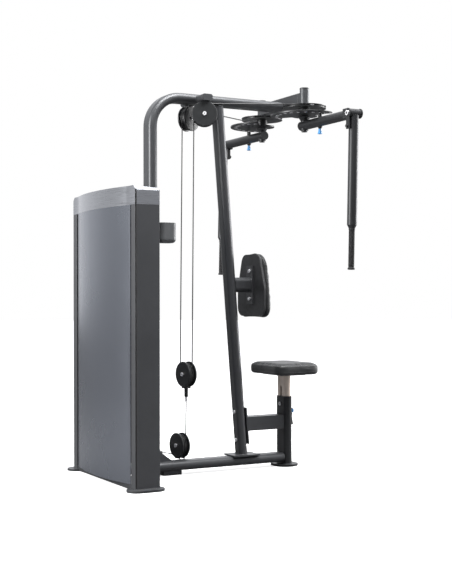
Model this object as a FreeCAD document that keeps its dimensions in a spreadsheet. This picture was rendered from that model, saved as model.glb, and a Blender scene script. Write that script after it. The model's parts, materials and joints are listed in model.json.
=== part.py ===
"""Pectoral fly and rear delt machine with one weight stack, as separate pieces joined by joints.

Row frame, millimetres: +Z up, +X from the weight tower towards the seat, Y = 0 is the symmetry plane.
The origin is on the floor under the middle of the machine's box. Pieces named near_ are on the -Y side.
"""
import FreeCAD, Part
import math
import os

import Sketcher
from FreeCAD import Placement, Rotation, Vector

SIZES = {
    # weight tower
    "tower_front": -586, "column_deep": 127, "column_wide": 56, "column_outer": 413,
    "column_wall": 3, "seam": 6, "column_foot": 12, "cap_foot": 1374, "cap_top": 1466,
    "cap_drop": 11, "cap_shoulder": 26, "cap_wall": 3,
    "panel_half": 337, "panel_bulge": 42, "panel_skin": 2, "panel_foot": 30,
    "rear_foot": 240, "rear_slot_foot": 245, "rear_slot_top": 830, "rear_slot_half": 24,
    "foot_half": 55, "foot_span": 83, "foot_offset": 17, "foot_mid": 395,
    "base_foot": 4, "base_top": 30, "base_deep": 110, "head_foot": 1240, "head_thick": 8,
    "rope_hole": 12,
    # weight stack
    "stack_mid": -524, "stack_foot": 140, "plate_step": 25, "plate_thick": 24.6, "plate_deep": 102,
    "plate_wide": 340, "resting_count": 10, "lifted_count": 5, "head_plate_thick": 30,
    "guide_mid": 130, "guide_half": 10, "guide_hole": 11, "selector_half": 11, "selector_hole": 13,
    "selector_rise": 26, "selector_gap": 4, "collar_half": 21, "collar_tall": 14,
    "pin_half": 5, "pin_hole": 5.3, "pin_knob_half": 14, "pin_knob_long": 26, "bumper_half": 24,
    # flat-oval frame tubes
    "tube_tall": 50, "tube_wide": 100, "tube_wall": 3, "beam_foot": 23, "top_of_tube": 2000,
    "leg_mid": -318, "bend_radius": 160, "beam_start": -476, "gusset_long": 92, "gusset_tall": 68,
    "gusset_wide": 50, "gusset_root": 2, "mid_foot_start": -256, "mid_foot_end": -150,
    "upright_wide": 82, "upright_spare": 20, "upright_foot_mid": 221, "upright_top_mid": 77,
    "upright_foot": 81,
    "upright_plate_start": 147, "upright_plate_end": 305, "upright_plate_half": 61,
    "brace_foot": 206, "brace_tall": 76, "brace_wide": 80, "brace_wall": 3, "brace_plate": 8,
    "weld_gap": 0.2, "flange_foot": 135, "flange_top": 333, "brace_bolt_high": 309, "brace_bolt_low": 158,
    # seat
    "post_mid": 494, "sleeve_wide": 112, "sleeve_wall": 4.5, "sleeve_top": 383, "post_tall": 40,
    "post_wide": 98, "post_wall": 3, "post_foot": 128, "post_top": 500, "post_plate": 6,
    "slot_half": 7, "slot_foot": 192, "slot_top": 440, "guide_bolt": 340, "lock_height": 262,
    "lock_step": 30, "lock_holes": 7, "lock_lowest": 172, "seat_thick": 64, "seat_long": 268,
    "seat_wide": 345, "seat_corner": 42, "seat_foot_half": 70,
    "seat_edge": 16, "seat_plate_long": 150, "seat_plate_wide": 200,
    "lever_height": 302, "lever_mid": 532, "lever_half": 13, "lever_wide": 34, "lever_drop": 80,
    "lever_axle": 4, "lever_bore": 4.1, "lug_mid": 20.5, "lug_thick": 5, "lug_half": 11, "lug_reach": 30,
    "boss_half": 9, "boss_long": 6, "paddle_wide": 30, "paddle_waist": 34, "lock_long": 14,
    # chest pad
    "pad_back": 294, "pad_thick": 38, "pad_board": 12, "pad_foot": 820, "pad_top": 1167,
    "pad_low_half": 150, "pad_high_half": 96, "pad_mid": 995, "pad_plate": 8, "pad_plate_half": 33,
    "pad_plate_tall": 210, "pad_arm_tall": 80, "pad_side": 150, "pad_corner": 50, "pad_edge": 12,
    "board_inset": 6,
    "pad_bolt_gap": 75, "cope_size": 200,
    # arm hubs
    "hub_x": 488, "hub_y": 224, "hub_foot": 1953, "hub_top": 2042, "hub_half": 25, "hub_bore": 21,
    "bearing_wide": 9, "bearing_hole": 12.55, "shaft_half": 12.5, "cap_thick": 8,
    "cross_mid": 1992, "cross_tall": 60, "cross_deep": 50,
    "cam_half": 116, "cam_cable": 108, "cam_height": 1943, "cam_thick": 14, "spacer_half": 30,
    "plate_half": 180, "plate_foot": 1896, "plate_high": 8, "plate_back": 70, "hole_ring": 150,
    "adjust_step": 15, "adjust_holes": 11, "shaft_foot": 1820, "nut_half": 16, "nut_tall": 7,
    # arms and handles
    "arm_height": 1848, "arm_half": 25, "arm_wall": 3.5, "arm_inner_end": 30, "arm_outer_end": 416,
    "arm_lid": 4, "web_half": 20, "web_thick": 5,
    "arm_sleeve_half": 20, "arm_bore": 12.56, "arm_sleeve_foot": 1821, "arm_cone_top": 1893,
    "arm_cone_half": 33, "pop_half": 5, "pop_bore": 5.1, "pop_guide_half": 10.9, "pop_hole": 11,
    "pivot_reach": 458, "ear_gap": 33, "ear_thick": 6, "ear_half": 24, "axle_half": 8,
    "axle_bore": 8.1, "sleeve_half": 22, "sleeve_reach": 32, "handle_half": 25, "handle_wall": 3,
    "handle_drop": 559, "handle_taper": 575, "grip_half": 15.5, "grip_core": 12, "grip_drop": 784,
    "handle_rake": 1.4, "stop_drop": 80, "stop_half": 13, "axle_head": 13, "buffer_half": 8,
    "buffer_long": 9, "pull_drop": 65, "pull_low_half": 12, "pull_high_half": 7.5, "pull_tall": 28,
    # cable and pulleys
    "cable_half": 3, "groove_radius": 55, "groove_gap": 0.3, "flange_radius": 60, "groove_half": 3.5,
    "flange_thick": 3.5, "sheave_hub": 10, "strap_gap": 12, "strap_thick": 4, "guard_radius": 66.5,
    "guard_thick": 8, "bolt_half": 6, "bolt_bore": 6.05, "bolt_head": 10, "head_tall": 6,
    "top_x": -48, "top_y": 92, "top_z": 1888, "stub_deep": 60, "stub_tall": 34, "stub_round": 12,
    "stub_mid": 1972,
    "stub_end": 130, "float_x": -112, "float_z": 523, "float_turn": 8, "stem_foot": 404,
    "low_x": -123.7, "low_y": 54.5, "low_z": 143, "corner_reach": 240, "head_z": 1325,
    # bottle holder
    "holder_y": -372, "holder_foot": 1192, "holder_top": 1290, "holder_long": 92, "holder_wide": 80,
    "holder_wall": 3, "holder_floor": 4, "holder_corner": 26, "holder_base": 18, "holder_gap": 4,
    "holder_strip": 5, "holder_strip_inset": 14, "holder_plate_foot": 1171, "holder_plate_top": 1322,
}

UP = Rotation()
ALONG_X = Rotation(Vector(1, 1, 1), 120)
ALONG_Y = Rotation(Vector(1, 1, 1), 240)
NEAR, FAR = -1, 1

doc = FreeCAD.newDocument("pec_fly_machine")
sheet = doc.addObject("Spreadsheet::Sheet", "Sizes")
nodes = []


def fill_sheet():
    """One row for each driving dimension: its name, its value and an alias."""
    for row, (name, value) in enumerate(SIZES.items(), start=1):
        sheet.set(f"A{row}", name)
        sheet.set(f"B{row}", str(value))
        sheet.setAlias(f"B{row}", name)
    doc.recompute()


def value(name):
    return float(sheet.get(name))


def sized(text):
    """Turn sheet words in a formula into references to the sheet's cells."""
    words = []
    for piece in text.replace("(", " ( ").replace(")", " ) ").split():
        words.append(f"Sizes.{piece}" if piece in SIZES else piece)
    return " ".join(words)


def number(text):
    """The formula's present value, for a sketch's first guess."""
    total = doc.getObject("Sizes").evalExpression(sized(text))
    return float(getattr(total, "Value", total))


def bind(thing, **formulas):
    for name, text in formulas.items():
        thing.setExpression(name, sized(text))
    return thing


def place(thing, at=("0", "0", "0"), turn=UP):
    """Set a turn, then tie the base point to the sheet."""
    thing.Placement = Placement(Vector(), turn)
    for letter, text in zip("xyz", at):
        thing.setExpression(f"Placement.Base.{letter}", sized(text))
    return thing


def keep(thing, label):
    """This object is a node: its label names its file."""
    thing.Label = label
    nodes.append(thing)
    return thing


# ---------------------------------------------------------------- solids from primitives


def block(low_x, high_x, low_y, high_y, low_z, high_z):
    made = doc.addObject("Part::Box", "block")
    bind(made, Length=f"( {high_x} ) - ( {low_x} )", Width=f"( {high_y} ) - ( {low_y} )",
         Height=f"( {high_z} ) - ( {low_z} )")
    return place(made, (low_x, low_y, low_z))


def rod(radius, length, at, turn=UP):
    made = doc.addObject("Part::Cylinder", "rod")
    bind(made, Radius=radius, Height=length)
    return place(made, at, turn)


def cone(low_radius, high_radius, length, at, turn=UP):
    made = doc.addObject("Part::Cone", "cone")
    bind(made, Radius1=low_radius, Radius2=high_radius, Height=length)
    return place(made, at, turn)


def fuse(*parts):
    made = doc.addObject("Part::MultiFuse", "fuse")
    made.Shapes = list(parts)
    made.Refine = True
    return made


def group(*parts):
    """Several separate solids of one kind in one node."""
    made = doc.addObject("Part::Compound", "group")
    made.Links = list(parts)
    return made


def cut(base, *tools):
    made = doc.addObject("Part::Cut", "cut")
    made.Base = base
    made.Tool = tools[0] if len(tools) == 1 else group(*tools)
    return made


def common(base, tool):
    made = doc.addObject("Part::Common", "common")
    made.Base = base
    made.Tool = tool
    return made


def mirrored(source):
    """The same piece on the other side of the symmetry plane."""
    made = doc.addObject("Part::Mirroring", "mirrored")
    made.Source = source
    made.Normal = Vector(0, 1, 0)
    return made


# ---------------------------------------------------------------- solids from sketches


def new_body(name):
    return doc.addObject("PartDesign::Body", name)


def new_sketch(body, name, role="XY_Plane"):
    sketch = body.newObject("Sketcher::SketchObject", name)
    plane = next(f for f in body.Origin.OriginFeatures if f.Role == role)
    sketch.AttachmentSupport = [(plane, "")]
    sketch.MapMode = "FlatFace"
    return sketch


def tie(sketch, constraint, formula):
    index = sketch.addConstraint(constraint)
    sketch.setExpression(f"Constraints[{index}]", sized(formula))


def outline(sketch, corners):
    """A closed outline of straight sides through corners, each a pair of formulas."""
    points = [Vector(number(across), number(up), 0) for across, up in corners]
    sides = []
    for start, end in zip(points, points[1:] + points[:1]):
        sides.append(sketch.addGeometry(Part.LineSegment(start, end)))
    for side, following in zip(sides, sides[1:] + sides[:1]):
        sketch.addConstraint(Sketcher.Constraint("Coincident", side, 2, following, 1))
    for side, point, (across, up) in zip(sides, points, corners):
        tie(sketch, Sketcher.Constraint("DistanceX", -1, 1, side, 1, point.x), across)
        tie(sketch, Sketcher.Constraint("DistanceY", -1, 1, side, 1, point.y), up)


def flat_oval(sketch, long_side, short_side):
    """Two half rounds and two flats, the long side along the sketch's second axis."""
    radius = number(short_side) / 2
    half = (number(long_side) - number(short_side)) / 2
    reach = f"( ( {long_side} ) - ( {short_side} ) ) / 2"
    top = sketch.addGeometry(Part.ArcOfCircle(Part.Circle(Vector(0, half, 0), Vector(0, 0, 1), radius),
                                              0, math.pi))
    low = sketch.addGeometry(Part.ArcOfCircle(Part.Circle(Vector(0, -half, 0), Vector(0, 0, 1), radius),
                                              math.pi, 2 * math.pi))
    left = sketch.addGeometry(Part.LineSegment(Vector(-radius, half, 0), Vector(-radius, -half, 0)))
    right = sketch.addGeometry(Part.LineSegment(Vector(radius, -half, 0), Vector(radius, half, 0)))
    for first, first_end, second, second_end in ((top, 2, left, 1), (left, 2, low, 1),
                                                 (low, 2, right, 1), (right, 2, top, 1)):
        sketch.addConstraint(Sketcher.Constraint("Tangent", first, first_end, second, second_end))
    sketch.addConstraint(Sketcher.Constraint("PointOnObject", top, 3, -2))
    sketch.addConstraint(Sketcher.Constraint("PointOnObject", low, 3, -2))
    tie(sketch, Sketcher.Constraint("DistanceY", -1, 1, top, 3, half), reach)
    tie(sketch, Sketcher.Constraint("DistanceY", low, 3, -1, 1, half), reach)
    tie(sketch, Sketcher.Constraint("Radius", top, radius), f"( {short_side} ) / 2")


def pad(body, sketch, length):
    made = body.newObject("PartDesign::Pad", "pad")
    made.Profile = sketch
    bind(made, Length=length)
    return made


def turned(name, corners):
    """A solid of revolution about local Z; corners are (radius, height) formulas."""
    body = new_body(name)
    sketch = new_sketch(body, f"{name}_profile", "XZ_Plane")
    outline(sketch, corners)
    made = body.newObject("PartDesign::Revolution", "turned")
    made.Profile = sketch
    made.ReferenceAxis = (sketch, ["V_Axis"])
    made.Angle = 360
    return body


def oval_tube(name, long_side, short_side, wall, length):
    body = new_body(name)
    sketch = new_sketch(body, f"{name}_profile")
    flat_oval(sketch, long_side, short_side)
    flat_oval(sketch, f"( {long_side} ) - 2 * {wall}", f"( {short_side} ) - 2 * {wall}")
    pad(body, sketch, length)
    return body


def oval_bar(name, long_side, short_side, length):
    body = new_body(name)
    sketch = new_sketch(body, f"{name}_profile")
    flat_oval(sketch, long_side, short_side)
    pad(body, sketch, length)
    return body


def prism(name, corners, length):
    body = new_body(name)
    sketch = new_sketch(body, f"{name}_profile")
    outline(sketch, corners)
    pad(body, sketch, length)
    return body


def round_edges(solid, radius, chosen):
    """Fillet the edges whose middle point passes the test."""
    doc.recompute()
    made = doc.addObject("Part::Fillet", "rounded")
    made.Base = solid
    edges = []
    for index, edge in enumerate(solid.Shape.Edges, start=1):
        middle = edge.valueAt((edge.FirstParameter + edge.LastParameter) / 2)
        if chosen(edge, middle):
            edges.append((index, number(radius), number(radius)))
    made.Edges = edges
    return made


def upright_edge(edge, middle):
    """True for a straight edge along Z."""
    if edge.Curve.TypeId != "Part::GeomLine":
        return False
    return abs(abs(edge.tangentAt(edge.FirstParameter).z) - 1) < 1e-6


def bolt(at, turn, length, reach="bolt_half", head="bolt_head"):
    """A hexagon-socket bolt: shank along local +Z from its seat, head behind it."""
    shank = rod(reach, length, at, turn)
    top = rod(head, "head_tall", at, turn)
    top.Placement = shank.Placement
    back = turn.multVec(Vector(0, 0, -1))
    for letter, text, step in zip("xyz", at, back):
        top.setExpression(f"Placement.Base.{letter}", sized(f"{text} + {step:.6f} * head_tall"))
    return fuse(shank, top)


# ---------------------------------------------------------------- weight tower

REAR = "( tower_front + column_deep )"
COLUMN_INNER = "( column_outer - column_wide )"


def make_columns():
    """Two box columns whose front outer corner has a dark rebate down its whole length."""
    outer = [("tower_front", f"-1 * {COLUMN_INNER}"), ("tower_front", "-1 * ( column_outer - seam )"),
             ("tower_front + seam", "-1 * ( column_outer - seam )"),
             ("tower_front + seam", "-1 * column_outer"), (REAR, "-1 * column_outer"),
             (REAR, f"-1 * {COLUMN_INNER}")]
    inner_low = "-1 * ( column_outer - seam - column_wall )"
    inner_high = f"-1 * ( {COLUMN_INNER} + column_wall )"
    inner = [("tower_front + column_wall", inner_high), ("tower_front + column_wall", inner_low),
             (f"{REAR} - column_wall", inner_low), (f"{REAR} - column_wall", inner_high)]
    body = new_body("near_column_box")
    sketch = new_sketch(body, "column_profile")
    outline(sketch, outer)
    outline(sketch, inner)
    pad(body, sketch, "cap_foot - column_foot")
    place(body, ("0", "0", "column_foot"))
    keep(group(body, mirrored(body)), "tower_columns")


def arc_shell(name, half, bulge, offset, thick, length):
    """A shallow curved sheet across the tower's front, its hollow side towards +X."""
    chord = value(half)
    sag = value(bulge)
    radius = (chord ** 2 + sag ** 2) / (2 * sag)
    front = value("tower_front")
    body = new_body(name)
    sketch = new_sketch(body, f"{name}_profile")
    centre = Vector(front - sag + radius, 0, 0)
    outer = radius - offset
    inner = outer - thick
    spread = math.asin(chord / radius)
    curves = []
    for size in (outer, inner):
        whole = Part.Circle(centre, Vector(0, 0, 1), size)
        curves.append(sketch.addGeometry(Part.ArcOfCircle(whole, math.pi - spread, math.pi + spread)))
    ends = [centre + Vector(-math.cos(spread) * size, math.sin(spread) * size, 0)
            for size in (outer, inner)]
    lows = [Vector(point.x, -point.y, 0) for point in ends]
    high_side = sketch.addGeometry(Part.LineSegment(ends[0], ends[1]))
    low_side = sketch.addGeometry(Part.LineSegment(lows[0], lows[1]))
    join = Sketcher.Constraint
    sketch.addConstraint(join("Coincident", curves[0], 1, high_side, 1))
    sketch.addConstraint(join("Coincident", curves[1], 1, high_side, 2))
    sketch.addConstraint(join("Coincident", curves[0], 2, low_side, 1))
    sketch.addConstraint(join("Coincident", curves[1], 2, low_side, 2))
    sketch.addConstraint(join("PointOnObject", curves[0], 3, -1))
    sketch.addConstraint(join("Coincident", curves[0], 3, curves[1], 3))
    round_size = "( panel_half ^ 2 + panel_bulge ^ 2 ) / ( 2 * panel_bulge )"
    tie(sketch, join("Radius", curves[0], outer), f"{round_size} - {offset}")
    tie(sketch, join("Radius", curves[1], inner), f"{round_size} - {offset + thick}")
    tie(sketch, join("DistanceX", -1, 1, curves[0], 3, centre.x),
        f"tower_front - panel_bulge + {round_size}")
    pad(body, sketch, length)
    return body


def make_front_shroud():
    panel = arc_shell("front_panel", "panel_half", "panel_bulge", 0, value("panel_skin"),
                      "cap_foot - panel_foot")
    place(panel, ("0", "0", "panel_foot"))
    keep(panel, "front_shroud")


def make_rear_shroud():
    """A flat sheet between the columns with a tall slot for the selector pin."""
    sheet_face = block(f"{REAR} - panel_skin - 3", f"{REAR} - 3", f"-1 * {COLUMN_INNER} + 0.5",
                       f"{COLUMN_INNER} - 0.5", "rear_foot", "cap_foot - 1")
    slot = block(f"{REAR} - 20", REAR, "-1 * rear_slot_half", "rear_slot_half", "rear_slot_foot",
                 "rear_slot_top")
    keep(cut(sheet_face, slot), "rear_shroud")


def make_cap():
    """A moulded hood: bowed front, chamfered ends, top falling towards the seat side, hollow below."""
    chord = value("panel_half")
    sag = value("panel_bulge")
    radius = (chord ** 2 + sag ** 2) / (2 * sag)
    front = value("tower_front")
    outer_y = value("column_outer")
    seam = value("seam")
    rear = front + value("column_deep")

    def plan(shrink):
        """Closed outline of the hood seen from above, set in by shrink."""
        low = Vector(front + shrink, -chord, 0)
        high = Vector(front + shrink, chord, 0)
        bow = Part.Arc(high, Vector(front - sag + shrink, 0, 0), low).toShape()
        side = outer_y - shrink
        notch = seam
        points = [low, Vector(front + shrink, -side + notch, 0),
                  Vector(front + shrink + notch, -side + notch, 0),
                  Vector(front + shrink + notch, -side, 0), Vector(rear - shrink, -side, 0),
                  Vector(rear - shrink, side, 0), Vector(front + shrink + notch, side, 0),
                  Vector(front + shrink + notch, side - notch, 0),
                  Vector(front + shrink, side - notch, 0), high]
        edges = [Part.LineSegment(start, end).toShape() for start, end in zip(points, points[1:])]
        return Part.Face(Part.Wire(edges + [bow]))

    foot = value("cap_foot")
    top = value("cap_top")
    wall = value("cap_wall")
    drop = value("cap_drop")
    shoulder = value("cap_shoulder")
    rise = top - foot

    def hood(shrink, low, high):
        """The outline raised to a roof that falls to the rear and to both ends."""
        solid = plan(shrink).extrude(Vector(0, 0, high - low))
        reach = outer_y - shrink
        front_x = front - sag - 1
        rear_x = rear + 1
        fall = drop * (rear_x - front) / (rear - front)
        roof = Part.makePolygon([Vector(front_x, -reach - 1, 0), Vector(front_x, -reach - 1, rise - 24),
                                 Vector(front_x, -reach + shoulder, high - low),
                                 Vector(front_x, reach - shoulder, high - low),
                                 Vector(front_x, reach + 1, rise - 24), Vector(front_x, reach + 1, 0),
                                 Vector(front_x, -reach - 1, 0)])
        bar = Part.Face(roof).extrude(Vector(rear_x - front_x, 0, 0))
        solid = solid.common(bar)
        wedge = Part.makePolygon([Vector(front, -reach - 5, high - low),
                                  Vector(rear_x, -reach - 5, high - low - fall),
                                  Vector(rear_x, -reach - 5, high - low + 50),
                                  Vector(front, -reach - 5, high - low + 50),
                                  Vector(front, -reach - 5, high - low)])
        return solid.cut(Part.Face(wedge).extrude(Vector(0, 2 * reach + 10, 0)))

    outside = hood(0, foot, top)
    inside = hood(wall, foot, top - wall)
    shape = outside.cut(inside)
    shape.translate(Vector(0, 0, foot))
    hood_part = doc.addObject("Part::Feature", "cap")
    hood_part.Shape = shape
    keep(hood_part, "tower_cap")


def foot_plate(side):
    """A flat oval foot under a column."""
    plate = oval_bar("foot_plate", "2 * foot_half + foot_span", "2 * foot_half", "column_foot")
    turn = Rotation(Vector(0, 0, 1), 90)
    middle = "tower_front + foot_offset + foot_span / 2"
    return place(plate, (middle, f"{side} * foot_mid", "0"), turn)


def make_tower_base():
    """Feet and the low channel between the columns, which carries the beam and the stack."""
    channel = block("tower_front + 3", "tower_front + base_deep", f"-1 * {COLUMN_INNER} + 0.3",
                    f"{COLUMN_INNER} - 0.3", "base_foot", "base_top")
    keep(group(channel, foot_plate(NEAR), foot_plate(FAR)), "tower_base")


def make_top_plate(places):
    """The plate across the tower near its top that holds the guide rods and the head pulleys."""
    plate = block("tower_front + 14", f"{REAR} - 8", f"-1 * {COLUMN_INNER} + 0.3",
                  f"{COLUMN_INNER} - 0.3", "head_foot", "head_foot + head_thick")
    holes = [rod("guide_half", "head_thick + 2", ("stack_mid", f"{side} * guide_mid", "head_foot - 1"))
             for side in (NEAR, FAR)]
    riser_y = places["tower_foot"][0].y
    holes += [rod("rope_hole", "head_thick + 2", ("stack_mid", at, "head_foot - 1"))
              for at in ("0", f"{riser_y:.3f}")]
    brackets = doc.addObject("Part::Feature", "head_brackets")
    brackets.Shape = Part.makeCompound(head_brackets(places))
    keep(group(cut(plate, *holes), brackets), "tower_top_plate")


def make_guide_rods():
    rods = [rod("guide_half", "head_foot + head_thick - base_top",
                ("stack_mid", f"{side} * guide_mid", "base_top")) for side in (NEAR, FAR)]
    keep(group(*rods), "guide_rods")


def make_bumpers():
    """Rubber buffers round the guide rods that the stack rests on."""
    rings = []
    for side in (NEAR, FAR):
        at = ("stack_mid", f"{side} * guide_mid", "base_top")
        ring = rod("bumper_half", "stack_foot - base_top", at)
        rings.append(cut(ring, rod("guide_hole", "stack_foot", at)))
    keep(group(*rings), "stack_bumpers")


def stack_plate(low, high, pin_hole):
    """One cast plate with two guide holes, the selector hole and a pin hole from the seat side."""
    half_deep = "plate_deep / 2"
    plate = block(f"stack_mid - {half_deep}", f"stack_mid + {half_deep}", "-1 * plate_wide / 2",
                  "plate_wide / 2", low, high)
    tall = f"( {high} ) - ( {low} ) + 2"
    tools = [rod("guide_hole", tall, ("stack_mid", f"{side} * guide_mid", f"{low} - 1"))
             for side in (NEAR, FAR)]
    tools.append(rod("selector_hole", tall, ("stack_mid", "0", f"{low} - 1")))
    if pin_hole:
        tools.append(rod("pin_hole", "plate_deep", ("stack_mid", "0", f"{low} + plate_thick / 2"),
                         ALONG_X))
    return cut(plate, *tools)


def make_stack():
    """Ten plates at rest, five picked by the pin, and the head plate with its selector rod."""
    resting = []
    lifted = []
    for index in range(int(value("resting_count") + value("lifted_count"))):
        low = f"stack_foot + {index} * plate_step"
        plate = stack_plate(low, f"{low} + plate_thick", True)
        (resting if index < value("resting_count") else lifted).append(plate)
    keep(group(*resting), "resting_plates")
    keep(group(*lifted), "lifted_plates")
    head_low = "stack_foot + ( resting_count + lifted_count ) * plate_step"
    head = stack_plate(head_low, f"{head_low} + head_plate_thick", False)
    selector = rod("selector_half",
                   f"{head_low} + head_plate_thick + selector_rise - stack_foot - selector_gap",
                   ("stack_mid", "0", "stack_foot + selector_gap"))
    collar = rod("collar_half", "collar_tall", ("stack_mid", "0", f"{head_low} + head_plate_thick"))
    plug = rod("selector_hole + 0.5", "head_plate_thick", ("stack_mid", "0", head_low))
    holes = [rod("pin_hole", "2 * selector_hole",
                 ("stack_mid - selector_hole", "0", f"stack_foot + {index} * plate_step + plate_thick / 2"),
                 ALONG_X)
             for index in range(int(value("resting_count") + value("lifted_count")))]
    keep(cut(fuse(head, plug, collar, selector), *holes), "stack_head")
    pin_z = "stack_foot + resting_count * plate_step + plate_thick / 2"
    shaft = rod("pin_half", "plate_deep / 2 + 30", ("stack_mid - 8", "0", pin_z), ALONG_X)
    knob = rod("pin_knob_half", "pin_knob_long", ("stack_mid + plate_deep / 2 + 8", "0", pin_z), ALONG_X)
    keep(fuse(shaft, knob), "selector_pin")


# ---------------------------------------------------------------- frame

BEAM_MID = "( beam_foot + tube_tall / 2 )"
BEAM_TOP = "( beam_foot + tube_tall )"
TOP_MID = "( top_of_tube - tube_tall / 2 )"
SLEEVE_FRONT = "( post_mid - tube_tall / 2 )"


def make_beam():
    """The floor beam with its leg gusset and its middle foot, welded as one."""
    tube = oval_tube("beam_tube", "tube_wide", "tube_tall", "tube_wall",
                     f"{SLEEVE_FRONT} - beam_start")
    place(tube, ("beam_start", "0", BEAM_MID), Rotation(Vector(0, 1, 0), 90))
    leg_face = "leg_mid + tube_tall / 2"
    toe = f"{leg_face} + gusset_long"
    root = f"{BEAM_TOP} - gusset_root"
    gusset = prism("gusset", [(leg_face, root), (toe, root), (toe, BEAM_TOP),
                              (leg_face, f"{BEAM_TOP} + gusset_tall")], "gusset_wide")
    place(gusset, ("0", "gusset_wide / 2", "0"), Rotation(Vector(1, 0, 0), 90))
    foot = block("mid_foot_start", "mid_foot_end", "-1 * tube_wide / 4", "tube_wide / 4", "0",
                 "beam_foot + 1")
    keep(fuse(tube, gusset, foot), "base_beam")


def make_main_tube():
    """The leg and the top tube: one flat-oval tube with one bend."""
    body = new_body("bent_tube")
    profile = new_sketch(body, "tube_profile")
    flat_oval(profile, "tube_wide", "tube_tall")
    flat_oval(profile, "tube_wide - 2 * tube_wall", "tube_tall - 2 * tube_wall")
    path = new_sketch(body, "tube_path", "XZ_Plane")
    rise_text = f"{TOP_MID} - bend_radius - {BEAM_TOP}"
    run_text = "hub_x - cross_deep / 2 - leg_mid - bend_radius"
    rise = number(rise_text)
    run = number(run_text)
    bend = value("bend_radius")
    leg = path.addGeometry(Part.LineSegment(Vector(0, 0, 0), Vector(0, rise, 0)))
    corner = path.addGeometry(Part.ArcOfCircle(
        Part.Circle(Vector(bend, rise, 0), Vector(0, 0, 1), bend), math.pi / 2, math.pi))
    top = path.addGeometry(Part.LineSegment(Vector(bend, rise + bend, 0),
                                            Vector(bend + run, rise + bend, 0)))
    join = Sketcher.Constraint
    path.addConstraint(join("Coincident", leg, 1, -1, 1))
    path.addConstraint(join("Tangent", leg, 2, corner, 2))
    path.addConstraint(join("Tangent", corner, 1, top, 1))
    path.addConstraint(join("Vertical", leg))
    path.addConstraint(join("Horizontal", top))
    tie(path, join("DistanceY", leg, 1, leg, 2, rise), rise_text)
    tie(path, join("Radius", corner, bend), "bend_radius")
    tie(path, join("DistanceX", top, 1, top, 2, run), run_text)
    pipe = body.newObject("PartDesign::AdditivePipe", "bent")
    pipe.Profile = profile
    pipe.Spine = (path, ["Edge1", "Edge2", "Edge3"])
    place(body, ("leg_mid", "0", BEAM_TOP))
    keep(body, "main_tube")


def lean_angle():
    """The upright's lean from the vertical, in degrees; below 0 because it leans towards the tower."""
    run = value("upright_top_mid") - value("upright_foot_mid")
    rise = value("top_of_tube") - value("tube_tall") - value("upright_foot")
    return math.degrees(math.atan2(run, rise))


def lean_x(height):
    """The upright's middle at a height, as a formula."""
    return (f"( upright_foot_mid + ( upright_top_mid - upright_foot_mid ) * ( ( {height} ) - upright_foot )"
            " / ( top_of_tube - tube_tall - upright_foot ) )")


def half_depth():
    """Half the upright's depth along X, measured level."""
    return f"tube_tall / 2 / {math.cos(math.radians(lean_angle())):.6f}"


def make_upright():
    """The leaning flat-oval upright on its base plate."""
    tube = oval_tube("upright_tube", "upright_wide", "tube_tall", "tube_wall",
                     "top_of_tube - tube_tall - upright_foot + 3 * upright_spare")
    place(tube, (lean_x("upright_foot - upright_spare"), "0", "upright_foot - upright_spare"),
          Rotation(Vector(0, 1, 0), lean_angle()))
    window = block("upright_top_mid - tube_wide", "upright_foot_mid + tube_wide", "-1 * tube_wide",
                   "tube_wide", "upright_foot - 0.01", "top_of_tube - tube_tall")
    plate = block("upright_plate_start", "upright_plate_end", "-1 * upright_plate_half",
                  "upright_plate_half", BEAM_TOP, "upright_foot")
    keep(fuse(common(tube, window), plate), "upright")


def make_brace():
    """The box tube between the upright and the seat sleeve, with the plate that the bolts hold."""
    offset = f"{half_depth()} + weld_gap"
    plate = doc.addObject("Part::Box", "flange")
    bind(plate, Length="brace_plate", Width="brace_wide", Height="flange_top - flange_foot")
    place(plate, (f"{lean_x('flange_foot')} + {offset}", "-1 * brace_wide / 2", "flange_foot"),
          Rotation(Vector(0, 1, 0), lean_angle()))
    start = f"{lean_x('brace_foot')} + {offset} + brace_wall"
    outer = block(start, f"{SLEEVE_FRONT} - 0.1", "-1 * brace_wide / 2", "brace_wide / 2",
                  "brace_foot", "brace_foot + brace_tall")
    inner = block(f"{start} + 2 * brace_wall", SLEEVE_FRONT, "-1 * brace_wide / 2 + brace_wall",
                  "brace_wide / 2 - brace_wall", "brace_foot + brace_wall",
                  "brace_foot + brace_tall - brace_wall")
    keep(fuse(plate, cut(outer, inner)), "seat_brace")


def make_seat_sleeve():
    """The fixed seat post on its oval foot, with the lever's lugs and the lock pin's boss."""
    tube = oval_tube("sleeve_tube", "sleeve_wide", "tube_tall", "sleeve_wall",
                     "sleeve_top - column_foot")
    place(tube, ("post_mid", "0", "column_foot"))
    foot = oval_bar("sleeve_foot", "2 * seat_foot_half + 20", "2 * seat_foot_half", "column_foot")
    place(foot, ("post_mid", "0", "0"))
    back = "post_mid + tube_tall / 2"
    boss = rod("boss_half", "boss_long", (f"{back} - 1", "0", "lock_height"), ALONG_X)
    lugs = [block(f"{back} - 2", "lever_mid + 9", f"{side} * lug_mid - lug_thick / 2",
                  f"{side} * lug_mid + lug_thick / 2", "lever_height - lug_half",
                  "lever_height + lug_half") for side in (NEAR, FAR)]
    solid = fuse(tube, foot, boss, *lugs)
    tools = [rod("pin_half + 0.1", "30", (f"{back} - 12", "0", "lock_height"), ALONG_X),
             rod("bolt_bore", "20", (f"{SLEEVE_FRONT} - 5", "0", "guide_bolt"), ALONG_X),
             rod("lever_bore", "2 * lug_reach", ("lever_mid", "-1 * lug_reach", "lever_height"), ALONG_Y)]
    keep(cut(solid, *tools), "seat_sleeve")


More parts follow.
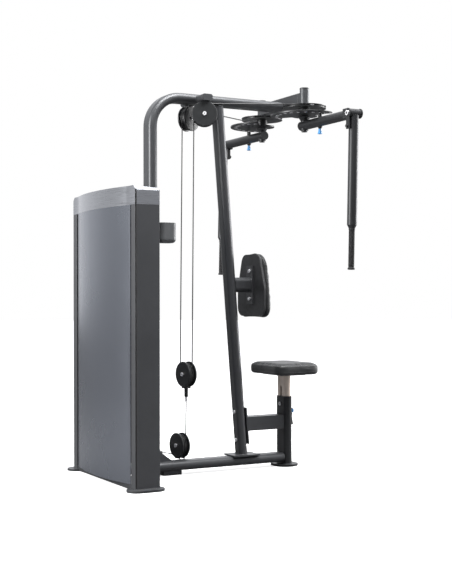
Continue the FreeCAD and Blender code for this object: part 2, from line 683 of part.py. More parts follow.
def make_seat_post():
    """The sliding inner post: a guide slot in front, lock holes behind, the seat's plate on top."""
    tube = oval_tube("post_tube", "post_wide", "post_tall", "post_wall", "post_top - post_foot")
    place(tube, ("post_mid", "0", "post_foot"))
    plate = block("post_mid - seat_plate_long / 2", "post_mid + seat_plate_long / 2",
                  "-1 * seat_plate_wide / 2", "seat_plate_wide / 2", "post_top", "post_top + post_plate")
    solid = fuse(tube, plate)
    front = "post_mid - post_tall / 2"
    slot = block(f"{front} - 2", f"{front} + 8", "-1 * slot_half", "slot_half", "slot_foot",
                 "slot_top - slot_half")
    slot_end = rod("slot_half", "10", (f"{front} - 2", "0", "slot_top - slot_half"), ALONG_X)
    holes = [rod("pin_hole", "12", ("post_mid + post_tall / 2 - 8", "0",
                                    f"lock_lowest + {index} * lock_step"), ALONG_X)
             for index in range(int(value("lock_holes")))]
    keep(cut(solid, slot, slot_end, *holes), "seat_post")


def make_seat_pad():
    cushion = block("post_mid - seat_long / 2", "post_mid + seat_long / 2", "-1 * seat_wide / 2",
                    "seat_wide / 2", "post_top + post_plate", "post_top + post_plate + seat_thick")
    rounded = round_edges(cushion, "seat_corner", upright_edge)
    keep(round_edges(rounded, "seat_edge", lambda edge, middle: not upright_edge(edge, middle)), "seat_pad")


def make_seat_lever():
    """The paddle that draws the lock pin, on its own little axle, and the pin."""
    hub = rod("lever_half", "lever_wide", ("lever_mid", "-1 * lever_wide / 2", "lever_height"), ALONG_Y)
    paddle = prism("paddle", [("lever_mid - 3", "lever_height"),
                              ("lever_mid - 6", "lever_height - paddle_waist"),
                              ("lever_mid + 6", "lever_height - lever_drop"),
                              ("lever_mid + 12", "lever_height - lever_drop"),
                              ("lever_mid + 4", "lever_height - paddle_waist"),
                              ("lever_mid + 8", "lever_height")], "paddle_wide")
    place(paddle, ("0", "paddle_wide / 2", "0"), Rotation(Vector(1, 0, 0), 90))
    axle_hole = rod("lever_bore", "2 * lug_reach", ("lever_mid", "-1 * lug_reach", "lever_height"), ALONG_Y)
    keep(cut(fuse(hub, paddle), axle_hole), "seat_lever")
    back = "post_mid + post_tall / 2"
    shaft = rod("pin_half", "lock_long", (f"{back} - 5", "0", "lock_height"), ALONG_X)
    keep(shaft, "seat_lock_pin")


def make_pad_arm():
    """The short flat-oval arm and the upright plate that carry the chest pad."""
    start = f"{lean_x('pad_mid')} - 5"
    stub = oval_tube("pad_stub", "pad_arm_tall", "tube_tall", "tube_wall",
                     f"pad_back - pad_plate - pad_board - ( {start} )")
    place(stub, (start, "0", "pad_mid"),
          Rotation(Vector(1, 0, 0), 90).multiply(Rotation(Vector(0, 1, 0), 90)))
    lean = lean_angle()
    tool = doc.addObject("Part::Box", "cope")
    bind(tool, Length="cope_size", Width="cope_size", Height="2 * cope_size")
    foot = "pad_mid - cope_size"
    level = math.cos(math.radians(lean))
    drop = math.sin(math.radians(lean))
    place(tool, (f"{lean_x(foot)} + {half_depth()} + weld_gap - cope_size * {level:.6f}",
                 "-1 * cope_size / 2", f"{foot} + cope_size * {drop:.6f}"), Rotation(Vector(0, 1, 0), lean))
    plate = block("pad_back - pad_board - pad_plate", "pad_back - pad_board",
                  "-1 * pad_plate_half", "pad_plate_half", "pad_mid - pad_plate_tall / 2",
                  "pad_mid + pad_plate_tall / 2")
    keep(fuse(cut(stub, tool), plate), "pad_arm")


def pad_outline(shrink):
    """The chest pad from behind: broad low down, narrower towards the top."""
    low = f"( pad_low_half - {shrink} )"
    high = f"( pad_high_half - {shrink} )"
    foot = f"pad_foot + {shrink}"
    top = f"pad_top - {shrink}"
    half = [(low, foot), (low, f"{foot} + pad_side"), (high, top)]
    return half + [(f"-1 * {across}", up) for across, up in reversed(half)]


def make_chest_pad():
    """The cushion and the board behind it."""
    for label, shrink, start, thick in (("chest_pad", "0", "pad_back", "pad_thick"),
                                        ("chest_pad_board", "board_inset", "pad_back - pad_board",
                                         "pad_board")):
        body = new_body(f"{label}_blank")
        sketch = new_sketch(body, f"{label}_profile")
        outline(sketch, pad_outline(shrink))
        pad(body, sketch, thick)
        place(body, (start, "0", "0"), ALONG_X)
        rounded = round_edges(body, "pad_corner", lambda side, middle: abs(side.tangentAt(
            side.FirstParameter).x) > 0.99)
        if label == "chest_pad":
            front = number("pad_back + pad_thick")
            rounded = round_edges(rounded, "pad_edge", lambda side, middle: abs(middle.x - front) < 0.01)
        keep(rounded, label)


def make_crossbar():
    """The cross tube over the seat with a bearing tube for each arm, welded as one."""
    bar = block("hub_x - cross_deep / 2", "hub_x + cross_deep / 2", "-1 * hub_y", "hub_y",
                "cross_mid - cross_tall / 2", "cross_mid + cross_tall / 2")
    inside = "-1 * hub_y + hub_half + 5", "hub_y - hub_half - 5"
    hollow = block("hub_x - cross_deep / 2 + tube_wall", "hub_x + cross_deep / 2 - tube_wall", *inside,
                   "cross_mid - cross_tall / 2 + tube_wall", "cross_mid + cross_tall / 2 - tube_wall")
    tubes = [rod("hub_half", "hub_top - hub_foot", ("hub_x", f"{side} * hub_y", "hub_foot"))
             for side in (NEAR, FAR)]
    bores = [rod("hub_bore", "hub_top - hub_foot + 2", ("hub_x", f"{side} * hub_y", "hub_foot - 1"))
             for side in (NEAR, FAR)]
    keep(cut(fuse(bar, *tubes), hollow, *bores), "hub_crossbar")


def make_bearings():
    rings = []
    for side in (NEAR, FAR):
        for low in ("hub_foot + 2", "hub_top - 2 - bearing_wide"):
            at = ("hub_x", f"{side} * hub_y", low)
            rings.append(cut(rod("hub_bore - 0.02", "bearing_wide", at),
                             rod("bearing_hole", "bearing_wide", at)))
    keep(group(*rings), "hub_bearings")


def make_hub_caps():
    caps = []
    for side in (NEAR, FAR):
        lid = turned("hub_cap", [("0", "hub_top"), ("hub_half + 0.5", "hub_top"),
                                 ("hub_half + 0.5", "hub_top + cap_thick - 3"),
                                 ("hub_half - 3", "hub_top + cap_thick"), ("0", "hub_top + cap_thick")])
        caps.append(place(lid, ("hub_x", f"{side} * hub_y", "0")))
    keep(group(*caps), "hub_caps")


# ---------------------------------------------------------------- arms


def make_cam(side, word):
    """The hub shaft with its cable cam, the plate of start holes under it and the nut below."""
    groove = "cam_cable - cable_half - groove_gap"
    low = "cam_height - cam_thick / 2"
    high = "cam_height + cam_thick / 2"
    cam = turned(f"{word}_cam_turned", [
        ("0", "shaft_foot"), ("shaft_half", "shaft_foot"), ("shaft_half", "plate_foot"),
        ("spacer_half - 8", "plate_foot"), ("spacer_half - 8", "plate_foot + plate_high"),
        ("spacer_half", "plate_foot + plate_high"), ("spacer_half", low), ("cam_half", low),
        ("cam_half", "cam_height - groove_half"), (groove, "cam_height - groove_half"),
        (groove, "cam_height + groove_half"), ("cam_half", "cam_height + groove_half"),
        ("cam_half", high), ("shaft_half", high), ("shaft_half", "hub_top - 1"), ("0", "hub_top - 1")])
    place(cam, ("hub_x", f"{side} * hub_y", "0"))
    nut = rod("nut_half", "nut_tall", ("hub_x", f"{side} * hub_y", "shaft_foot - nut_tall"))
    keep(group(cam, nut), f"{word}_cam")


def make_hole_plate(side, word):
    """A sector plate with one row of round start holes; the arm's pin drops into one of them."""
    body = new_body(f"{word}_sector")
    sketch = new_sketch(body, f"{word}_sector_profile")
    hub = Vector()
    outer = value("plate_half")
    step = value("adjust_step")
    count = int(value("adjust_holes"))
    first = math.radians(-90 + step + 8) if side == NEAR else math.radians(90 - step - 8)
    sweep = math.radians((count - 1) * step + 16)
    start, end = (first - sweep, first) if side == NEAR else (first, first + sweep)
    rim = Part.ArcOfCircle(Part.Circle(hub, Vector(0, 0, 1), outer), start, end)
    inner = value("plate_back")
    heel = Part.ArcOfCircle(Part.Circle(hub, Vector(0, 0, 1), inner), end, start + 2 * math.pi)
    rim_id = sketch.addGeometry(rim)
    heel_id = sketch.addGeometry(heel)
    sides = [sketch.addGeometry(Part.LineSegment(rim.EndPoint, heel.StartPoint)),
             sketch.addGeometry(Part.LineSegment(heel.EndPoint, rim.StartPoint))]
    join = Sketcher.Constraint
    sketch.addConstraint(join("Coincident", rim_id, 2, sides[0], 1))
    sketch.addConstraint(join("Coincident", sides[0], 2, heel_id, 1))
    sketch.addConstraint(join("Coincident", heel_id, 2, sides[1], 1))
    sketch.addConstraint(join("Coincident", sides[1], 2, rim_id, 1))
    sketch.addConstraint(join("Coincident", rim_id, 3, -1, 1))
    sketch.addConstraint(join("Coincident", heel_id, 3, -1, 1))
    tie(sketch, join("Radius", rim_id, outer), "plate_half")
    tie(sketch, join("Radius", heel_id, inner), "plate_back")
    pad(body, sketch, "plate_high")
    place(body, ("hub_x", f"{side} * hub_y", "plate_foot"))
    tools = [rod("spacer_half - 7.95", "plate_high + 2", ("hub_x", f"{side} * hub_y", "plate_foot - 1"))]
    for index in range(count):
        angle = math.radians(90 * side + side * step * (index - 1))
        tools.append(rod("pin_hole", "plate_high + 2",
                         (f"hub_x + {math.cos(angle):.6f} * hole_ring",
                          f"{side} * hub_y + {math.sin(angle):.6f} * hole_ring", "plate_foot - 1")))
    keep(cut(body, *tools), f"{word}_hole_plate")


def make_arm(side, word):
    """The arm tube on its hub sleeve, the pull pin's guide and the clevis for the handle."""
    hub = f"{side} * hub_y"
    outward = Rotation(Vector(1, 0, 0), -90 * side)
    pipe = rod("arm_half", "arm_outer_end + arm_inner_end",
               ("hub_x", f"{hub} - {side} * arm_inner_end", "arm_height"), outward)
    hollow = rod("arm_half - arm_wall", "arm_outer_end + arm_inner_end - arm_lid - web_thick",
                 ("hub_x", f"{hub} - {side} * ( arm_inner_end - arm_lid )", "arm_height"), outward)
    web_low, web_high = sorted((number(f"{hub} + {side} * arm_outer_end"),
                                number(f"{hub} + {side} * ( arm_outer_end + web_thick )")))
    pivot = f"{hub} + {side} * pivot_reach"
    ears = []
    for end in (NEAR, FAR):
        plate = oval_bar("ear", "ear_half * 2 + 1", "ear_half * 2", "ear_thick")
        reach = "ear_gap" if end == FAR else "-1 * ear_gap - ear_thick"
        ears.append(place(plate, (f"hub_x + {reach}", pivot, "arm_height"), ALONG_X))
        ears.append(block(f"hub_x + {reach}", f"hub_x + {reach} + ear_thick",
                          f"{web_low:.3f}" if side == FAR else pivot,
                          pivot if side == FAR else f"{web_high:.3f}",
                          "arm_height - ear_half", "arm_height + ear_half"))
    web = block("hub_x - ear_gap - ear_thick", "hub_x + ear_gap + ear_thick", f"{web_low:.3f}",
                f"{web_high:.3f}", "arm_height - web_half", "arm_height + web_half")
    ear_out = "ear_gap + ear_thick"
    stop_low, stop_high = ("hub_x + ear_gap", f"hub_x + {ear_out}") if side == FAR else (
        f"hub_x - ( {ear_out} )", "hub_x - ear_gap")
    stop = block(stop_low, stop_high, f"{pivot} - stop_half", f"{pivot} + stop_half",
                 "arm_height - stop_drop", "arm_height")
    sleeve = rod("arm_sleeve_half", "arm_cone_top - arm_sleeve_foot", ("hub_x", hub, "arm_sleeve_foot"))
    flare = cone("arm_sleeve_half", "arm_cone_half", "arm_cone_top - arm_height - arm_half + 2",
                 ("hub_x", hub, "arm_height + arm_half - 2"))
    solid = fuse(cut(pipe, hollow), web, stop, sleeve, flare, *ears)
    pin_y = f"{hub} + {side} * hole_ring"
    tools = [rod("arm_bore", "120", ("hub_x", hub, "arm_sleeve_foot - 10")),
             rod("pop_hole", "80", ("hub_x", pin_y, "arm_height - 40")),
             rod("axle_half + 0.05", "120", ("hub_x - 60", pivot, "arm_height"), ALONG_X)]
    keep(cut(solid, *tools), f"{word}_arm")

    guide = turned(f"{word}_guide_turned", [
        ("pop_bore", "arm_height - 36"), ("pop_bore + 2", "arm_height - 36"),
        ("pop_guide_half + 3", "arm_height - arm_half - 0.3"),
        ("pop_guide_half", "arm_height - arm_half - 0.3"), ("pop_guide_half", "plate_foot - 3"),
        ("pop_bore", "plate_foot - 3")])
    place(guide, ("hub_x", pin_y, "0"))
    axle = bolt(("hub_x - ear_gap - ear_thick", pivot, "arm_height"), ALONG_X,
                "2 * ear_gap + 2 * ear_thick + 4", "axle_half", "axle_head")
    buffer_start = stop_high if side == FAR else f"{stop_low} - buffer_long"
    buffer = rod("buffer_half", "buffer_long", (buffer_start, pivot, "arm_height - stop_drop + 14"),
                 ALONG_X)
    keep(group(guide, axle, buffer), f"{word}_arm_fittings")

    pin_foot = "arm_height - pull_drop + 3"
    pin = rod("pop_half", f"plate_foot + plate_high - ( {pin_foot} )", ("hub_x", pin_y, pin_foot))
    grip = cone("pull_low_half", "pull_high_half", "pull_tall",
                ("hub_x", pin_y, "arm_height - pull_drop"))
    keep(fuse(pin, grip), f"{word}_pull_pin")


def hang(thing, side, turn=UP):
    """Place a piece made round a handle's pivot."""
    return place(thing, ("hub_x", f"{side} * ( hub_y + pivot_reach )", "arm_height"), turn)


def make_handle(side, word):
    """The hanging handle: cross sleeve on the arm's axle, a tube raked towards the tower, grip core."""
    rake = Rotation(Vector(0, 1, 0), value("handle_rake"))
    cross = rod("sleeve_half", "2 * sleeve_reach", ("-1 * sleeve_reach", "0", "0"), ALONG_X)
    tube = turned(f"{word}_handle_turned", [
        ("0", "-1 * grip_drop + 8"), ("grip_core", "-1 * grip_drop + 8"),
        ("grip_core", "-1 * handle_taper - 4"), ("grip_half + 1", "-1 * handle_taper - 4"),
        ("grip_half + 1", "-1 * handle_taper"), ("handle_half", "-1 * handle_drop"),
        ("handle_half", "-10"), ("0", "-10")])
    place(tube, turn=rake)
    down = rake.multVec(Vector(0, 0, -1))
    hollow = rod("handle_half - handle_wall", "handle_drop - 30",
                 (f"{down.x:.6f} * ( handle_drop - 10 )", "0", f"{down.z:.6f} * ( handle_drop - 10 )"), rake)
    bore = rod("axle_bore", "2 * sleeve_reach + 2", ("-1 * sleeve_reach - 1", "0", "0"), ALONG_X)
    keep(hang(cut(fuse(cross, tube), hollow, bore), side), f"{word}_handle")
    grip = turned(f"{word}_grip_turned", [
        ("grip_core + 0.05", "-1 * handle_taper - 4.1"), ("grip_half", "-1 * handle_taper - 4.1"),
        ("grip_half", "-1 * grip_drop + 9"), ("grip_half + 2.5", "-1 * grip_drop + 7"),
        ("grip_half + 2.5", "-1 * grip_drop"), ("0", "-1 * grip_drop"), ("0", "-1 * grip_drop + 7.9"),
        ("grip_core + 0.05", "-1 * grip_drop + 7.9")])
    keep(hang(grip, side, rake), f"{word}_grip")


# ---------------------------------------------------------------- pulleys


def frame_of(centre, axis):
    """A placement at centre whose local Z is the pulley's axis."""
    return Placement(centre, Rotation(Vector(0, 0, 1), axis))


def splay():
    """The angle that aims a top pulley at the outside of its cam."""
    across = value("hub_y") - value("top_y")
    along = value("hub_x") - value("top_x")
    reach = math.hypot(across, along)
    return math.atan2(across, along) + math.asin(value("cam_cable") / reach)


def pulleys():
    """Each pulley's name, centre and axis."""
    angle = splay()
    turn = math.radians(value("float_turn"))
    low = Vector(value("low_x"), value("low_y"), value("low_z"))
    across = Vector(math.cos(turn), math.sin(turn), 0)
    groove = value("groove_radius")
    forward = Vector(-math.sin(turn), math.cos(turn), 0)
    inward = Vector(-math.cos(turn), -math.sin(turn), 0)
    steps = (value("corner_reach") - low.y) / forward.y
    corner = low + forward * steps + inward * groove
    corner.z = low.z - groove
    out_y = corner.y + groove
    stack_x = value("stack_mid")
    places = {
        "near_top": (Vector(value("top_x"), -value("top_y"), value("top_z")),
                     Vector(math.sin(angle), math.cos(angle), 0)),
        "far_top": (Vector(value("top_x"), value("top_y"), value("top_z")),
                    Vector(-math.sin(angle), math.cos(angle), 0)),
        "floating": (Vector(value("float_x"), 0, value("float_z")), across),
        "lower": (low, across),
        "corner": (corner, Vector(0, 0, 1)),
        "tower_foot": (Vector(stack_x + groove, out_y, corner.z + groove), Vector(0, 1, 0)),
        "head_outer": (Vector(stack_x, out_y - groove, value("head_z")), Vector(1, 0, 0)),
        "head_inner": (Vector(stack_x, groove, value("head_z")), Vector(1, 0, 0)),
    }
    return places


def make_sheave(word, centre, axis):
    groove = "groove_radius - cable_half - groove_gap"
    rim = "groove_half + flange_thick"
    body = turned(f"{word}_sheave_turned", [
        ("bolt_bore", "-1 * sheave_hub"), ("bolt_bore + 10", "-1 * sheave_hub"),
        ("bolt_bore + 10", f"-1 * ( {rim} )"), ("flange_radius", f"-1 * ( {rim} )"),
        ("flange_radius", "-1 * groove_half"), (groove, "-1 * groove_half"), (groove, "groove_half"),
        ("flange_radius", "groove_half"), ("flange_radius", rim), ("bolt_bore + 10", rim),
        ("bolt_bore + 10", "sheave_hub"), ("bolt_bore", "sheave_hub")])
    body.Placement = frame_of(centre, axis)
    keep(body, f"{word}_sheave")


def straps(centre, axis, down, start, reach, half):
    """Two flat straps beside a sheave, from start above the axle to reach below, along down."""
    made = []
    gap = value("strap_gap")
    thick = value("strap_thick")
    for level in (-gap - thick, gap):
        plate = Part.makeBox(2 * half, start + reach, thick, Vector(-half, -start, level))
        hole = Part.makeCylinder(value("bolt_bore"), thick, Vector(0, 0, level))
        plate = plate.cut(hole)
        across = down.cross(axis)
        turn = Rotation(across, down, axis, "XYZ")
        plate.Placement = Placement(centre, turn)
        made.append(plate)
    return made


def guards(centre, axis):
    """Round guard discs outside the straps."""
    made = []
    thick = value("guard_thick")
    level = value("strap_gap") + value("strap_thick")
    radius = value("guard_radius")
    for sign in (-1, 1):
        disc = Part.makeCylinder(radius, thick, Vector(0, 0, level if sign > 0 else -level - thick))
        face = level + thick if sign > 0 else -level - thick
        rim = [edge for edge in disc.Edges
               if abs(edge.CenterOfMass.z - face) < 0.01 and edge.Curve.TypeId == "Part::GeomCircle"]
        disc = disc.makeChamfer(2.5, rim)
        disc = disc.cut(Part.makeCylinder(value("bolt_bore"), 80, Vector(0, 0, -40)))
        disc.Placement = frame_of(centre, axis)
        made.append(disc)
    return made


def axle(centre, axis, half):
    """A bolt through a pulley, with a head at each end."""
    shank = Part.makeCylinder(value("bolt_half"), 2 * half, Vector(0, 0, -half))
    heads = [Part.makeCylinder(value("bolt_head"), value("head_tall"), Vector(0, 0, level))
             for level in (half, -half - value("head_tall"))]
    made = shank.fuse(heads[0]).fuse(heads[1]).removeSplitter()
    made.Placement = frame_of(centre, axis)
    return made


def solid_group(label, shapes):
    made = doc.addObject("Part::Feature", label)
    made.Shape = shapes[0] if len(shapes) == 1 else Part.makeCompound(shapes)
    keep(made, label)


def make_pulley_sets(places):
    for word, (centre, axis) in places.items():
        make_sheave(word, centre, axis)
    down = Vector(0, 0, -1)
    stub_low = value("stub_mid") - value("stub_tall") / 2
    hanger = []
    for word, side in (("near_top", NEAR), ("far_top", FAR)):
        centre, axis = places[word]
        inner = value("tube_wide") / 2 - 14
        outer = value("stub_end")
        low, high = sorted((side * inner, side * outer))
        stub = Part.makeBox(value("stub_deep"), high - low, value("stub_tall"),
                            Vector(centre.x - value("stub_deep") / 2, low, stub_low))
        lengthwise = [edge for edge in stub.Edges if abs(edge.tangentAt(0).y) > 0.99]
        stub = stub.makeFillet(value("stub_round"), lengthwise)
        tube_end = value("tube_wide") / 2 - value("tube_tall") / 2
        core = Part.makeCylinder(value("tube_tall") / 2 + 0.2, 200,
                                 Vector(centre.x - 100, side * tube_end,
                                        value("top_of_tube") - value("tube_tall") / 2), Vector(1, 0, 0))
        stub = stub.cut(core)
        for strap in straps(centre, axis, down, stub_low - centre.z, 22, 20):
            hanger.append(strap)
        hanger.append(stub)
    solid_group("top_pulley_hanger", hanger)

    covers = []
    for word in ("near_top", "far_top", "lower"):
        covers.extend(guards(*places[word]))
    low_centre, low_axis = places["lower"]
    beam_top = value("beam_foot") + value("tube_tall")
    brackets = straps(low_centre, low_axis, down, 22, low_centre.z - beam_top, 26)
    brackets = [trim_to_beam(shape) for shape in brackets]
    corner, corner_axis = places["corner"]
    brackets.extend(corner_bracket(corner))
    brackets.extend(foot_brackets(places))
    solid_group("pulley_mounts", brackets + covers)

    half = value("strap_gap") + value("strap_thick") + value("guard_thick")
    bare = value("strap_gap") + value("strap_thick")
    centre, axis = places["floating"]
    cage = straps(centre, axis, down, 24, 66, 19)
    block_top = centre.z - 66
    yoke = Part.makeBox(38, 2 * bare, 8, Vector(-19, -bare, 0))
    yoke.Placement = Placement(Vector(centre.x, centre.y, block_top - 8),
                               Rotation(Vector(0, 0, 1), math.degrees(math.atan2(axis.y, axis.x)) - 90))
    stem = Part.makeCylinder(10, block_top - 8 - value("stem_foot"),
                             Vector(centre.x, centre.y, value("stem_foot")))
    solid_group("floating_yoke", cage + guards(centre, axis)
                + [yoke.fuse(stem), axle(centre, axis, half)])


def pulley_bolts(places):
    """The axle bolts of the pulleys that turn on the frame."""
    bare = value("strap_gap") + value("strap_thick")
    half = bare + value("guard_thick")
    bolts = [axle(*places[word], half) for word in ("near_top", "far_top", "lower")]
    bolts.extend(axle(*places[word], bare) for word in ("corner", "tower_foot", "head_outer",
                                                        "head_inner"))
    return Part.makeCompound(bolts)


def trim_to_beam(shape):
    """Cope a bracket to the beam's flat-oval top."""
    long_side = value("tube_wide") - value("tube_tall")
    radius = value("tube_tall") / 2 + 0.2
    middle = value("beam_foot") + value("tube_tall") / 2
    start = value("beam_start")
    tools = [Part.makeCylinder(radius, 1000, Vector(start, side * long_side / 2, middle),
                               Vector(1, 0, 0)) for side in (NEAR, FAR)]
    tools.append(Part.makeBox(1000, long_side, radius * 2, Vector(start, -long_side / 2,
                                                                middle - radius)))
    for tool in tools:
        shape = shape.cut(tool)
    return shape


def corner_bracket(corner):
    """Two level plates round the corner pulley, joined to an upright foot on the floor."""
    gap = value("strap_gap")
    thick = value("strap_thick")
    made = []
    for low in (corner.z - gap - thick, corner.z + gap):
        plate = Part.makeBox(132, 40, thick, Vector(corner.x - 110, corner.y - 20, low))
        plate = plate.cut(Part.makeCylinder(value("bolt_bore"), 20, Vector(corner.x, corner.y, low - 5)))
        made.append(plate)
    post = Part.makeBox(24, 40, corner.z + gap + thick, Vector(corner.x - 134, corner.y - 20, 0))
    made.append(post)
    return made


def foot_brackets(places):
    """Plates that hold the pulley at the foot of the tower."""
    gap = value("strap_gap")
    thick = value("strap_thick")
    made = []
    centre, _ = places["tower_foot"]
    for low in (centre.y - gap - thick, centre.y + gap):
        plate = Part.makeBox(40, thick, centre.z + 20 - value("base_top"),
                             Vector(value("tower_front") + value("base_deep") - 42, low,
                                    value("base_top")))
        link = Part.makeBox(centre.x + 20 - (value("tower_front") + value("base_deep") - 2), thick, 40,
                            Vector(value("tower_front") + value("base_deep") - 2, low, centre.z - 20))
        plate = plate.fuse(link).removeSplitter()
        hole = Part.makeCylinder(value("bolt_bore"), 100, Vector(centre.x, centre.y - 50, centre.z),
                                 Vector(0, 1, 0))
        made.append(plate.cut(hole))
    return made


def head_brackets(places):
    """Straps that hold the two head pulleys on the tower's top plate."""
    gap = value("strap_gap")
    thick = value("strap_thick")
    made = []
    for word in ("head_outer", "head_inner"):
        centre, _ = places[word]
        for low in (centre.x - gap - thick, centre.x + gap):
            foot = value("head_foot") + value("head_thick")
            plate = Part.makeBox(thick, 40, centre.z + 20 - foot, Vector(low, centre.y - 20, foot))
            hole = Part.makeCylinder(value("bolt_bore"), 100,
                                     Vector(centre.x - 50, centre.y, centre.z), Vector(1, 0, 0))
            made.append(plate.cut(hole))
    return made


# ---------------------------------------------------------------- cables


def tube_along(edges):
    """A round cable along straight runs and arcs."""
    path = Part.Wire(edges)
    start = path.Edges[0].valueAt(path.Edges[0].FirstParameter)
    heading = path.Edges[0].tangentAt(path.Edges[0].FirstParameter)
    ring = Part.Wire(Part.makeCircle(value("cable_half"), start, heading))
    return path.makePipeShell([ring], True, True), path.Length


def quarter(centre, first, second):
    """The arc round centre from centre + first to centre + second, by the shorter way."""
    middle = (first + second).normalize() * first.Length
    return Part.Arc(centre + first, centre + middle, centre + second).toShape()


def line(start, end):
    return Part.LineSegment(start, end).toShape()


def make_cables(places):
    groove = value("groove_radius")
    lengths = {}

    def node(label, shapes, total):
        solid_group(label, shapes)
        lengths[label] = total

    upper = []
    total = 0
    lower_ends = {}
    turn = math.radians(value("float_turn"))
    spread = Vector(math.sin(turn), -math.cos(turn), 0)
    floating = places["floating"][0]
    for word, side in (("near_top", NEAR), ("far_top", FAR)):
        centre, _ = places[word]
        angle = splay()
        heading = Vector(math.cos(angle), side * math.sin(angle), 0)
        hub = Vector(value("hub_x"), side * value("hub_y"), centre.z)
        reach = (hub - centre).dot(heading)
        lift = math.sqrt(2 * value("cam_cable") * (2 * value("cable_half") + 0.6))
        top = centre + Vector(0, 0, groove)
        end = top + heading * (reach - lift)
        tube, length = tube_along([line(end, top), quarter(centre, Vector(0, 0, groove),
                                                           heading * -groove)])
        upper.append(tube)
        total += length
        lower_ends[side] = centre - heading * groove
    node("top_cables", upper, total)

    strands = []
    total = 0
    for side in (NEAR, FAR):
        foot = floating + spread * (groove * -side)
        slack = (lower_ends[side] - foot).normalize() * 0.3
        tube, length = tube_along([line(lower_ends[side] - slack, foot + slack)])
        strands.append(tube)
        total += length
    node("long_strands", strands, total)

    below = Vector(0, 0, -groove)
    tube, length = tube_along([quarter(floating, spread * groove, below),
                               quarter(floating, below, spread * -groove)])
    node("floating_loop", [tube], length)

    low = places["lower"][0]
    tangent = low + spread * groove
    stem = Vector(floating.x, floating.y, value("stem_foot") - 0.3)
    tube, length = tube_along([line(stem, tangent + Vector(0, 0, 0.3))])
    node("lower_strand", [tube], length)

    corner = places["corner"][0]
    outside = Vector(math.cos(turn), math.sin(turn), 0)
    foot = places["tower_foot"][0]
    outer = places["head_outer"][0]
    inner = places["head_inner"][0]
    first = low + below
    edges = [quarter(low, spread * groove, below), line(first, corner + outside * groove),
             quarter(corner, outside * groove, Vector(0, groove, 0)),
             line(corner + Vector(0, groove, 0), foot + below), quarter(foot, below, Vector(-groove, 0, 0)),
             line(foot + Vector(-groove, 0, 0), outer + Vector(0, groove, 0)),
             quarter(outer, Vector(0, groove, 0), Vector(0, 0, groove)),
             line(outer + Vector(0, 0, groove), inner + Vector(0, 0, groove)),
             quarter(inner, Vector(0, 0, groove), Vector(0, -groove, 0))]
    tube, length = tube_along(edges)
    node("base_cable", [tube], length)

    anchor_z = number("stack_foot + ( resting_count + lifted_count ) * plate_step"
                      " + head_plate_thick + selector_rise")
    tube, length = tube_along([line(inner + Vector(0, -groove, -0.3),
                                    Vector(inner.x, 0, anchor_z + 0.3))])
    node("stack_strand", [tube], length)
    section = math.pi * value("cable_half") ** 2
    for label, total in lengths.items():
        volume = sum(solid.Volume for solid in next(n for n in nodes if n.Label == label).Shape.Solids)
        print(f"{label}: length {total:.1f}, volume / (section x length) {volume / section / total:.4f}")


# ---------------------------------------------------------------- small fittings


def make_bottle_holder():
    """An open cup on the near column's seat-side face, on its mounting strip."""
    start = f"{REAR} + holder_gap"
    low_y = "holder_y - holder_wide / 2"
    high_y = "holder_y + holder_wide / 2"
    cup = block(start, f"{start} + holder_long", low_y, high_y, "holder_foot", "holder_top")
    rounded = round_edges(cup, "holder_corner", upright_edge)
    foot = number("holder_foot") + 0.01
    rounded = round_edges(rounded, "holder_base", lambda edge, middle: middle.z < foot)
    hollow = block(f"{start} + holder_wall", f"{start} + holder_long - holder_wall",
                   f"{low_y} + holder_wall", f"{high_y} - holder_wall", "holder_foot + holder_floor",
                   "holder_top + holder_wall")
    hollow = round_edges(hollow, "holder_corner - holder_wall", upright_edge)
    floor = number("holder_foot + holder_floor") + 0.01
    hollow = round_edges(hollow, "holder_base - holder_wall", lambda edge, middle: middle.z < floor)
    strip = block(f"{REAR} + 0.2", f"{REAR} + holder_strip", f"{low_y} + holder_strip_inset",
                  f"{high_y} - holder_strip_inset", "holder_plate_foot", "holder_plate_top")
    keep(fuse(cut(rounded, hollow), strip), "bottle_holder")


def make_frame_bolts(places):
    """The bright bolts: brace plate, chest pad plate, seat guide, lever axle and pulley axles."""
    axles = doc.addObject("Part::Feature", "pulley_bolts")
    axles.Shape = pulley_bolts(places)
    bolts = [axles]
    lean = Rotation(Vector(0, 1, 0), lean_angle() - 90)
    for height in ("brace_bolt_high", "brace_bolt_low"):
        at = (f"{lean_x(height)} - {half_depth()} - weld_gap", "0", height)
        bolts.append(rod("bolt_head", "head_tall", at, lean))
    for height in ("pad_mid + pad_bolt_gap", "pad_mid - pad_bolt_gap"):
        bolts.append(rod("bolt_head", "head_tall", ("pad_back - pad_board - pad_plate - head_tall", "0",
                                                    height), ALONG_X))
    bolts.append(bolt((SLEEVE_FRONT, "0", "guide_bolt"), ALONG_X, "2 * bolt_half"))
    axle_half = "( lug_mid + lug_thick / 2 )"
    bolts.append(rod("lever_axle", f"2 * {axle_half}", ("lever_mid", f"-1 * {axle_half}", "lever_height"),
                     ALONG_Y))
    keep(group(*bolts), "frame_bolts")


# ---------------------------------------------------------------- build and write


def check_objects():
    """Stop on any object that failed, and on any node with no sound solid."""
    for thing in doc.Objects:
        if "Invalid" in thing.State or "Error" in thing.State:
            raise RuntimeError(f"{thing.Label} ({thing.Name}) failed: {thing.State}")
    for thing in nodes:
        if thing.Shape.isNull() or not thing.Shape.isValid() or not thing.Shape.Solids:
            raise RuntimeError(f"{thing.Label} has no valid solid")


